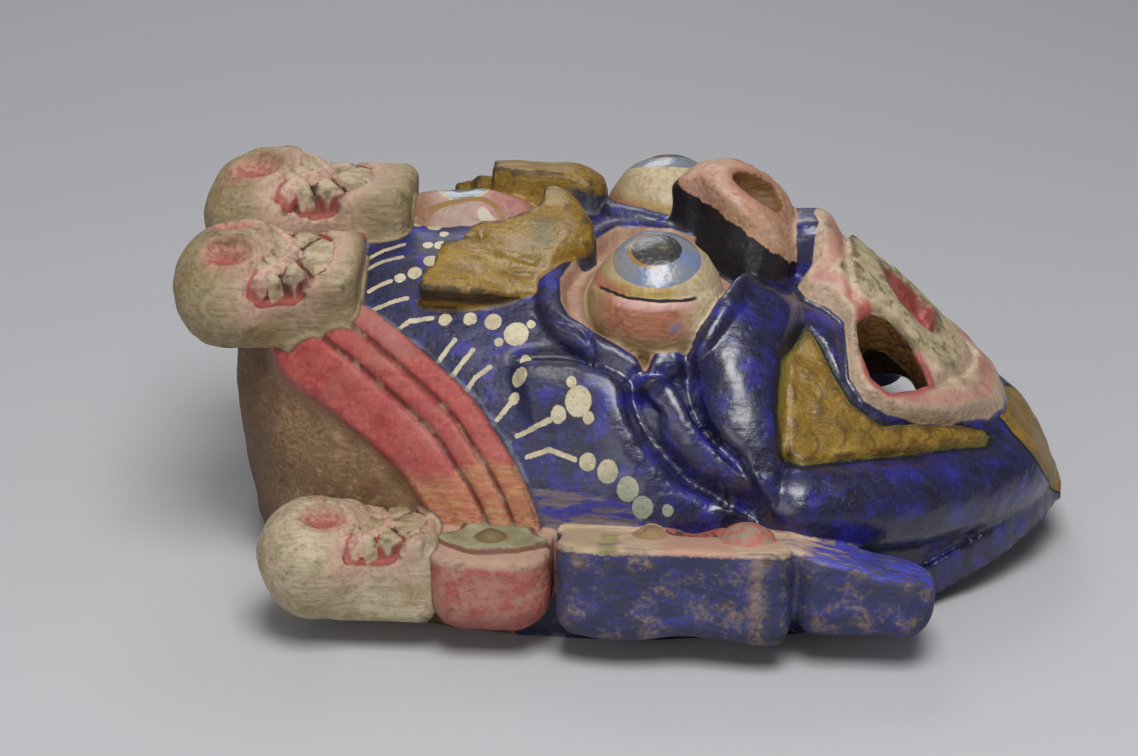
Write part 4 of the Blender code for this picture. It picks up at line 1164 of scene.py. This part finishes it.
def paint_eyes(p, coats):
    """The two eyes: a dark pupil in a pale iris, an ochre lid over a crack, and a reddened lower half."""
    x, z, wander = p.x, p.z, p.wander
    flesh = p.mottled("#ac8b76", (p.patch, 0.38, 0.62, 1, "#997662"),
                      (p.streak, 0.49, 0.63, 0.6, "#a0806a"))
    coats.lay(p.within("sockets", 0.8, 0.4, 0.4), flesh, SATIN)
    # painted shade: brown in the socket close round the foot of the eyeball
    deep = p.ramp(p.areas["eyes"] + wander * 0.6, 4.5, 2.2) * p.within("sockets", 0, 0.4, 0)
    coats.lay(deep * 0.6, "#6d4e3a", DRY)
    ball = p.ramp(p.areas["eyes"], 2.0, 1.4)
    white = p.mottled("#b9a888", (p.speck, 0.4, 0.62, 1, "#a5926f"), (x + wander * 2, 21, 15, 1, "#9c8660"))
    coats.lay(ball, white, SMOOTH)
    above = ball * p.ramp(z + wander * 0.3, EYE_CRACK_Z - 0.3, EYE_CRACK_Z + 0.3)
    ochre = p.span(x + wander * 2, 19, 40, 3) * p.ramp(z + wander, 113, 110)
    coats.lay(above * ochre * 0.85, p.mix(p.spots(p.speck, 0.5), "#97782f", "#a98f4c"), SATIN)
    coats.lay(above * p.ramp(x + wander * 2, 27, 19) * p.ramp(z + wander, 112, 109) * 0.8, "#a35f4a", SATIN)
    below = ball * (1 - above)
    salmon = p.mix(p.ramp(p.grain, 0.38, 0.62), "#a5694f", "#8a5539")
    coats.lay(below * p.span(x + wander * 2, 15, 44, 5) * p.ramp(z + wander * 3, 91, 97), salmon, SATIN)
    coats.lay(below * p.span(x + wander * 2, 20, 47, 3) * p.ramp(z + wander, 103.6, 105.4), "#bf958a", SATIN)
    # painted shade: olive brown on the lower part of the ball, where it meets the socket
    low = p.ramp(z + wander * 3, 98, 92) * p.ramp(x + wander * 2, 48, 42)
    coats.lay(below * low * 0.85, p.mix(p.ramp(p.grain, 0.4, 0.6), "#8f7048", "#745a38"), DULL)
    coats.lay(below * p.span(x + wander, 38, 42, 1.5) * p.span(z + wander, 97, 100, 1) * 0.7, "#6a6a80", DULL)
    crack = p.ramp(abs(z - EYE_CRACK_Z + 0.03 * (x - EYE_CRACK_X) + (p.streak - 0.5) * 1.2), 0.55, 0.3)
    coats.lay(ball * crack * p.span(x + wander, 14, 47, 1) * p.ramp(p.out, 52, 56), "#17100c", DUSTY)
    iris = p.mottled("#6b7998", (p.patch, 0.4, 0.6, 1, "#7c7f83"), (x + wander * 2, 26, 18, 0.6, "#8f8468"))
    coats.lay(p.ramp(p.areas["gaze"] + wander, *IRIS) * ball, iris, GLASSY, 0.5)
    ring = p.ramp(p.areas["gaze"] + wander * 2, *IRIS_INNER) * ball * p.ramp(x, 36, 30)
    coats.lay(ring, "#8f6c38", WET, 0.4)
    pupil = p.mix(p.spots(p.speck, 0.6, 0.04) * 0.6, "#2f2e2d", "#7a6547")
    coats.lay(p.ramp(p.areas["gaze"] + wander, *PUPIL) * ball, pupil, WET, 0.4)


def paint_third_eye(p, coats):
    """The eye on the forehead, with its iris at the top and an ochre lid line across it."""
    wander = p.wander
    place = p.flat(p.x + wander * 0.4, p.y + wander * 0.4)
    eye = p.within("third_eye", 1.0, 0.3, 0.3)
    coats.lay(eye, p.mix(p.ramp(p.x + wander * 2, -52, -44), "#85593c", "#a08576"), SATIN)
    pink = p.mix(p.spots(p.patch, 0.5), "#a8746d", "#a0655c")
    coats.lay(eye * p.ramp(p.x + wander * 2, -34, -28), pink, SATIN)
    coats.lay(eye * p.spots(p.blot, 0.54, 0.08) * 0.5, "#8d6d58", SATIN)
    iris = p.vector("DISTANCE", place, THIRD_IRIS_AT, "Value")
    coats.lay(eye * p.ramp(iris, *THIRD_IRIS_RIM), "#a99f74", BRUSHED)
    coats.lay(eye * p.ramp(iris, *THIRD_IRIS), p.mix(p.spots(p.patch, 0.5), "#7f8d94", "#89919a"), WET, 0.4)
    coats.lay(eye * p.ramp(iris, *THIRD_PUPIL), "#33322c", WET, 0.4)
    lid = p.from_line(place, THIRD_LID, FAR)
    coats.lay(eye * p.ramp(lid, 1.3, 0.8), "#86622f", SATIN)
    white = p.from_line(place, THIRD_WHITE, FAR)
    coats.lay(eye * p.ramp(white + wander * 0.4, 1.8, 1.2), "#b5a994", SATIN)


def paint_brows(p, coats):
    """Gold brows, with painted shade down the near brow's steep front wall, and dark in their cuts."""
    brows = p.within("brows", 0.9, 0.3, 0.2)
    coats.lay(brows, p.gold(), GILT)
    green = p.span(p.x + p.wander * 3, -10, -3, 3) * p.span(p.areas["around"] + p.wander * 3, 24, 34, 3)
    coats.lay(brows * green * 0.6, "#4f5030", SATIN)
    sunk = p.ramp(p.areas["grooves"] + (p.speck - 0.5) * 0.2, 0.2, 0.5)
    coats.lay(brows * sunk * 0.6, "#37260c", RUBBED)
    # painted shade: the near brow's steep front wall is laid dark brown
    wall = p.ramp(p.areas["brow_tops"] + p.wander * 0.4, -0.8, -1.8)
    dark = p.mix(p.ramp(p.grain, 0.4, 0.62), "#4a340f", "#2c1d0a")
    near_side = p.ramp(p.areas["around"], 36, 44) * p.ramp(p.y, 10, 0)
    coats.lay(brows * wall * near_side, dark, DULL)
    foot = p.span(p.areas["brow_tops"] + p.wander, -9, -6.5, 1) * p.ramp(p.areas["around"], 40, 46)
    coats.lay(brows * foot * 0.7, "#8d6a1e", SATIN)
    inner = p.ramp(p.x + p.wander, -4, 4) * p.ramp(p.areas["brow_tops"] + p.wander, -4.5, -6.5)
    coats.lay(brows * inner, p.mix(p.spots(p.patch, 0.5), "#2b2c3a", "#4c4d58"), DRY)


def paint_nose(p, coats):
    """A flesh-coloured cap, whose lower edge wanders across the dark upright sides."""
    nose = p.within("nose", 0.9, 0.3, 0.1)
    side = p.mottled("#0d0c12", (p.patch, 0.4, 0.7, 1, "#191722"), (p.cloud, 0.52, 0.64, 0.5, "#3a3a40"))
    coats.lay(nose, side, SMOOTH)
    flesh = p.mottled("#b08a76", (p.patch, 0.38, 0.64, 1, "#a9845f"), (p.blot, 0.49, 0.63, 0.6, "#9a6253"),
                      (p.speck, 0.54, 0.66, 0.4, "#c5aa8c"))
    run = p.x - NOSE_EDGE_X
    line = NOSE_EDGE_Z - run * 0.3 - run * run * 0.007 + (p.patch - 0.5) * 7
    flesh = p.mix(p.ramp(p.areas["nostrils"] + p.wander, 5, 1) * 0.6, flesh, "#96604c")
    coats.lay(nose * p.ramp(p.z - line, -0.4, 0.4) * p.ramp(p.x, 35.5, 36.5), flesh, SMOOTH)
    dish = p.mix(p.ramp(p.grain, 0.4, 0.6), "#70491a", "#593812")
    coats.lay(p.within("nostrils", 0.5, 0.3, 0.2), dish, DRY)


def paint_mouth(p, coats):
    """Cream lips shaded pink, rough teeth, red gums and the raw wood of the two corner openings."""
    lips, wander = p.areas["lips"], p.wander
    pink = p.mix(p.ramp(p.patch, 0.4, 0.62), "#b37f72", "#a2675d")
    cream = p.mix(p.ramp(p.patch, 0.4, 0.62), "#bca48a", "#ab917a")
    coats.lay(p.within("lips", 0.2, 0.3, 0.2), p.mix(p.spots(p.speck, 0.57) * 0.5, cream, "#93785f"), SATIN)
    shade = p.span(lips + wander * 2, -9, -4, 1.5) * p.spots(p.cloud + (p.patch - 0.5) * 0.5, 0.42, 0.12)
    coats.lay(shade * 0.8, pink, SATIN)
    inner = p.ramp(p.areas["mouth_hole"] + wander, 4.0, 1.5) * p.within("lips", -4, 1.5, 1.0)
    coats.lay(inner, "#9a4d48", SATIN)
    teeth = p.within("lips", -10.5, 0.8, 1.0) * p.ramp(p.areas["around"] + wander * 2, 42, 38)
    teeth = teeth * p.ramp(p.x + wander, 140, 136)
    enamel = p.mottled("#b0a082", (p.streak, 0.4, 0.65, 1, "#9d8c6a"), (p.blot, 0.52, 0.62, 0.8, "#6b6242"))
    coats.lay(teeth, enamel, DRY)
    coats.lay(teeth * p.ramp(p.areas["grooves"], 0.1, 0.4) * 0.7, "#5a4a30", RUBBED)
    gums = p.mix(p.spots(p.patch, 0.5), "#a0524c", "#7c3a2c")
    coats.lay(p.within("middle_hole", 0.3, 0.6, 0.6), gums, SATIN)
    hole = p.mix(p.ramp(p.grain, 0.4, 0.6), "#7a5220", "#4a2e12")
    coats.lay(p.within("hole_wall", 0.0, 0.4, 0.2), hole, RUBBED)


def paint_beard(p, coats):
    """Gold in a dark groove, with a yellow-green edge along the lip."""
    gold = p.mix(p.ramp(p.areas["grooves"] + (p.speck - 0.5) * 0.2, 0.1, 0.35) * 0.7, p.gold(), "#4c3414")
    for name in ("beard", "goatee"):
        outside = p.ramp(p.areas["lips"] + p.wander * 0.3, 1.0, 1.6)
        coats.lay(p.within(name, 2.6, 0.5, 0.6) * outside * 0.9, "#0e0e18", DULL)
        coats.lay(p.within(name, 0.6, 0.3, 0.5) * outside, "#5a5620", DULL)
        coats.lay(p.within(name, 0.0, 0.3, 0.4) * outside, gold, GILT)
    # dark crescents of painted shade, shaped like the shadowed side of curved gouge cuts
    place = p.flat(p.x, p.areas["around"])
    for u, v in BEARD_GOUGE_SHADES:
        arc = p.vector("DISTANCE", place, (u - 4, v - 2, 0), "Value") - BEARD_GOUGE_ROUND
        cut = p.ramp(abs(arc) + p.wander * 0.2, 0.7, 0.2) * p.ramp(p.x, u - 3, u - 1)
        cut = cut * p.within("beard", -1, 0.3, 0.2)
        coats.lay(cut * 0.6, "#4b3410", DRY)
    edge = p.span(p.areas["beard"] + p.wander, -1.6, -0.3, 0.3) * p.ramp(p.areas["around"], 82, 74)
    coats.lay(edge * p.spots(p.blot, 0.46, 0.06) * 0.7, "#77742a", DULL)


def paint_ears(p, coats):
    """Dull blue over bare tan wood, rubbed through on the upper side, with a red hollow and knob."""
    x, out = p.x, p.out
    ears = p.within("ears", 1.2, 0.3, 0.1)
    dull = p.mottled("#2e3153", (p.patch, 0.38, 0.62, 1, "#383b70"), (p.blot, 0.42, 0.66, 0.8, "#33323a"),
                     (p.cloud, 0.47, 0.67, 0.5, "#54504f"), (p.streak, 0.52, 0.68, 0.5, "#383c98"),
                     (p.z + p.wander, 18, 10, 0.6, "#3a3b48"))
    tan = p.mix(p.ramp(p.grain, 0.4, 0.6), "#ae9379", "#967a62")
    chips = p.spots(p.patch * 0.65 + p.speck * 0.35, 0.59, 0.1)
    streak = p.span(x + p.wander * 2, 67, 72, 2.5) * p.spots(p.patch * 0.5 + p.speck * 0.5, 0.47, 0.1)
    coats.lay(ears, p.mix(chips.higher(streak) * 0.6, dull, tan), CHALKY)
    top = ears * p.ramp(p.areas["ear_tops"] + p.wander * 1.4, 2.4, 1.2)
    bare = p.ramp(x + (p.streak - 0.5) * 60, 100, 78)
    coats.lay(top * bare, p.mix(p.ramp(p.grain, 0.4, 0.6), "#bda38b", "#a48870"), RUBBED)
    ultramarine = p.mix(p.ramp(p.streak, 0.4, 0.6), "#2b2f8a", "#4347a8")
    coats.lay(top * (1 - bare) * p.spots(p.streak, 0.46, 0.04), ultramarine, DRY)
    coats.lay(top * p.span(x + p.wander, 6, 19, 2) * 0.7, "#a3906e", RUBBED)
    coats.lay(top * p.span(x + p.wander, 18, 24, 1) * p.ramp(out, 104, 107), "#8a7f56", RAW)
    coats.lay(ears * p.within("ear_curls", 1.0, 0.5, 0.4), "#8c7450", RUBBED)
    coats.lay(top * p.span(x + p.wander * 2, 38, 62, 2) * 0.7, "#ad7f6c", RUBBED)
    hollow = p.mix(p.spots(p.blot, 0.55, 0.06), "#9c4f45", "#3c2c26")
    coats.lay(ears * p.within("ear_hollows", 1.2, 0.5, 0.4), hollow, RUBBED)
    knob = p.mix(p.ramp(p.blot, 0.42, 0.6), "#a85f4f", "#8d7a68")
    coats.lay(ears * p.within("ear_knobs", 0.6, 0.5, 0.6), knob, CHALKY)


def paint_earrings(p, coats):
    """A worn red barrel with a grey-green lens on it, and an olive knob on that."""
    earrings = p.within("earrings", 1.2, 0.3, 0.2)
    red = p.mottled("#a0524c", (p.patch, 0.38, 0.62, 1, "#a8705f"), (p.blot, 0.4, 0.68, 0.6, "#a37f6c"),
                    (p.speck, 0.55, 0.65, 0.5, "#7b3a38"), (p.z + p.wander * 2, 19, 11, 0.6, "#8c3a37"))
    coats.lay(earrings, red, CHALKY)
    coats.lay(earrings * p.ramp(p.z + p.wander, 33, 35) * 0.7, "#a8907a", RUBBED)
    coats.lay(earrings * p.within("lozenges", 1.2, 0.4, 0.3), "#6c4030", CHALKY)
    panel = p.mix(p.ramp(p.patch, 0.4, 0.6), "#8e8a6c", "#7c7556")
    coats.lay(earrings * p.within("lozenges", -0.3, 0.4, 0.4), panel, CHALKY)
    place = p.flat(p.x, p.out)
    knob = p.vector("DISTANCE", place, LOZENGE_KNOB_AT, "Value") + p.wander
    coats.lay(earrings * p.ramp(knob, 6, 5) * p.ramp(p.z, 35, 36), "#6d5a34", CHALKY)


def paint_skulls(p, coats):
    """Old bone colour with ochre patches, red-stippled sockets, and a red line round the teeth."""
    skulls = p.within("skulls", 1.2, 0.3, 0.1)
    low = p.ramp(p.z, 70, 45)
    dark, pale = p.mix(low, "#7d6e4e", "#96866a"), p.mix(low, "#9a8966", "#b5a588")
    bone = p.mottled(pale, (p.grain, 0.35, 0.68, 1, dark), (p.patch, 0.48, 0.64, 0.6, "#80693a"),
                     (p.blot, 0.49, 0.63, 0.5, p.mix(low, "#aa9a7c", "#c2b398")),
                     (p.speck, 0.56, 0.66, 0.4, "#6f6046"))
    coats.lay(skulls, bone, CHALKY)
    salmon = p.mix(p.ramp(p.speck, 0.4, 0.6), "#ad7864", "#8c584b")
    coats.lay(skulls * p.within("skull_sockets", 1.0, 1.2, 0.5), p.mix(0.4, bone, salmon), CHALKY)
    coats.lay(skulls * p.within("skull_sockets", -1.2, 1.0, 0.5), salmon, CHALKY)
    coats.lay(skulls * p.within("skull_sockets", -4.2, 1.2, 0.5) * 0.7, "#94453f", CHALKY)
    cheeks = p.within("skull_mouths", 7, 5, 1.5) * p.spots(p.patch, 0.45, 0.1)
    coats.lay(skulls * cheeks * 0.6, "#b08d7a", CHALKY)
    mouths = skulls * p.within("skull_mouths", 0.4, 0.5, 0.3)
    pale = p.mix(p.spots(p.speck, 0.52), "#b99a84", "#a67f70")
    coats.lay(skulls * p.within("skull_mouths", 3.5, 2.5, 1.0) * 0.6, pale, DRY)
    coats.lay(mouths, pale, DRY)
    deep = p.ramp(p.areas["skull_depths"] + p.wander * 0.3, 0.9, 1.9)
    coats.lay(mouths * deep, p.mix(p.spots(p.patch, 0.53, 0.08), "#7f372e", "#3a2018"), CHALKY)
    rim = p.span(p.areas["skull_mouths"] + p.wander * 0.4, -1.6, -0.1, 0.4)
    coats.lay(skulls * rim * 0.85, "#96453a", DRY)
    enamel = p.mix(p.ramp(p.blot, 0.42, 0.6), "#ad9a7c", "#8f7d5f")
    coats.lay(mouths * p.within("skull_teeth", 0.0, 0.3, 0.2), enamel, DRY)
    # painted shade: a dark ring just round each skull, in the crease where it meets the head
    skull_foot_shade = p.span(p.areas["skulls"] + p.wander * 0.5, 0.6, 1.6, 0.4)
    coats.lay(skull_foot_shade * 0.6, "#3f2c1e", DUSTY)


BLUE_ROUGH, CHEEK_GLOSS, FOREHEAD_GLOSS, COAT_ROUGH = 0.44, 0.48, 0.17, 0.22
# the colour of the painted shade and dust in the grooves
GROOVE_SHADE_AND_DUST = "#1c1712"
BUMP_HIGH = 0.0005  # in metres


def painted_wood(mesh):
    """The whole finish, from the areas that are kept on the mesh."""
    p = MaskPaint([kept.name for kept in mesh.attributes if kept.data_type == "FLOAT"])
    glossy = p.ramp(p.x, 5, 30)
    rough = p.ramp(p.streak, 0.3, 0.75) * 0.2 + BLUE_ROUGH - glossy * 0.18
    coats = Coats(p, p.blue(), rough, glossy * CHEEK_GLOSS + FOREHEAD_GLOSS)
    for paint in (paint_temple, paint_marks, paint_crown, paint_eyes, paint_third_eye, paint_brows,
                  paint_nose, paint_mouth, paint_beard, paint_earrings, paint_ears, paint_skulls):
        paint(p, coats)
    coats.lay(p.within("inside", 2.0, 0.6, 0.3), p.bare_wood(), DUSTY)

    # near-black painted shade and dust in the grooves, by how far each point lies below the surface around it
    grooves = p.areas["grooves"] + (p.speck - 0.5) * 0.3
    coats.lay(p.ramp(grooves, 0.25, 0.7) * 0.6, GROOVE_SHADE_AND_DUST, DUSTY)

    height = p.streak * 0.5 + p.speck * 0.35 + p.crumb * 0.15 + p.grain * 0.2
    height = height + p.ramp(p.dents, 0.0, 0.5) * 0.3
    bump = p.node("ShaderNodeBump", {}, {"Strength": 1.0, "Distance": BUMP_HIGH, "Height": height})
    p.feed(p.shader.inputs["Base Color"], coats.colour)
    p.feed(p.shader.inputs["Roughness"], coats.roughness)
    p.feed(p.shader.inputs["Coat Weight"], coats.gloss)
    p.feed(p.shader.inputs["Coat Roughness"], COAT_ROUGH)
    p.feed(p.shader.inputs["Normal"], bump)
    return p.material


# --- the stage ----------------------------------------------------------------------------------------

# The floor, in metres
PAPER_HALF_WIDE, PAPER_FRONT, PAPER_BACK, PAPER_HIGH, PAPER_TURN, PAPER_STEPS = 6.0, -5.0, 1.6, 3.0, 0.6, 16
PAPER_GAP = 0.0002  # the floor lies this far below the rim, so that they share no surface
PAPER, PAPER_ROUGH = "#b4b4b7", 0.9
SKY, SKY_STRENGTH = "#d4d6dc", 0.27
LIGHTS = (  # name, place, watts, and size across and up
    ("window", (0.1, -0.55, 1.05), 12, 0.5, 0.65),
    ("low_window", (-0.8, -1.7, 0.6), 6.5, 1.2, 0.8),
    ("far_window", (-0.3, 1.2, 1.2), 7, 0.8, 0.8))
LIGHTS_AIM = (0, 0, 0.05)


def area_light(name, place, energy, size, tall):
    """A soft light at a place in metres, turned to the mask."""
    light = bpy.data.lights.new(name, "AREA")
    light.shape = "RECTANGLE"
    light.energy, light.size, light.size_y = energy, size, tall
    holder = bpy.data.objects.new(name, light)
    holder.location = place
    holder.rotation_euler = (Vector(LIGHTS_AIM) - Vector(place)).to_track_quat("-Z", "Y").to_euler()
    bpy.context.collection.objects.link(holder)


def add_stage():
    """A pale floor that curves up into a backdrop, and soft studio light."""
    profile = [(PAPER_FRONT, 0.0)]
    for i in range(PAPER_STEPS + 1):
        angle = math.pi / 2 * i / PAPER_STEPS
        profile.append((PAPER_BACK + PAPER_TURN * math.sin(angle), PAPER_TURN - PAPER_TURN * math.cos(angle)))
    profile.append((PAPER_BACK + PAPER_TURN, PAPER_HIGH))
    points = [(side * PAPER_HALF_WIDE, y, z - PAPER_GAP) for y, z in profile for side in (-1, 1)]
    faces = [(2 * i, 2 * i + 1, 2 * i + 3, 2 * i + 2) for i in range(len(profile) - 1)]
    mesh = bpy.data.meshes.new("floor")
    mesh.from_pydata(points, [], faces)
    mesh.shade_smooth()
    floor = bpy.data.objects.new("floor", mesh)
    bpy.context.collection.objects.link(floor)
    paper = Paint("pale_paper")
    paper.shader.inputs["Base Color"].default_value = tone(PAPER)
    paper.shader.inputs["Roughness"].default_value = PAPER_ROUGH
    mesh.materials.append(paper.material)
    world = bpy.data.worlds.new("studio")
    world.use_nodes = True
    sky = world.node_tree.nodes["Background"].inputs
    sky["Color"].default_value = tone(SKY)
    sky["Strength"].default_value = SKY_STRENGTH
    bpy.context.scene.world = world
    for light in LIGHTS:
        area_light(*light)


mask = make_mask()
mask.data.materials.clear()
mask.data.materials.append(painted_wood(mask.data))
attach(mask, "root")
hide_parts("mask")
add_stage()
bpy.context.scene.view_settings.view_transform = "Standard"
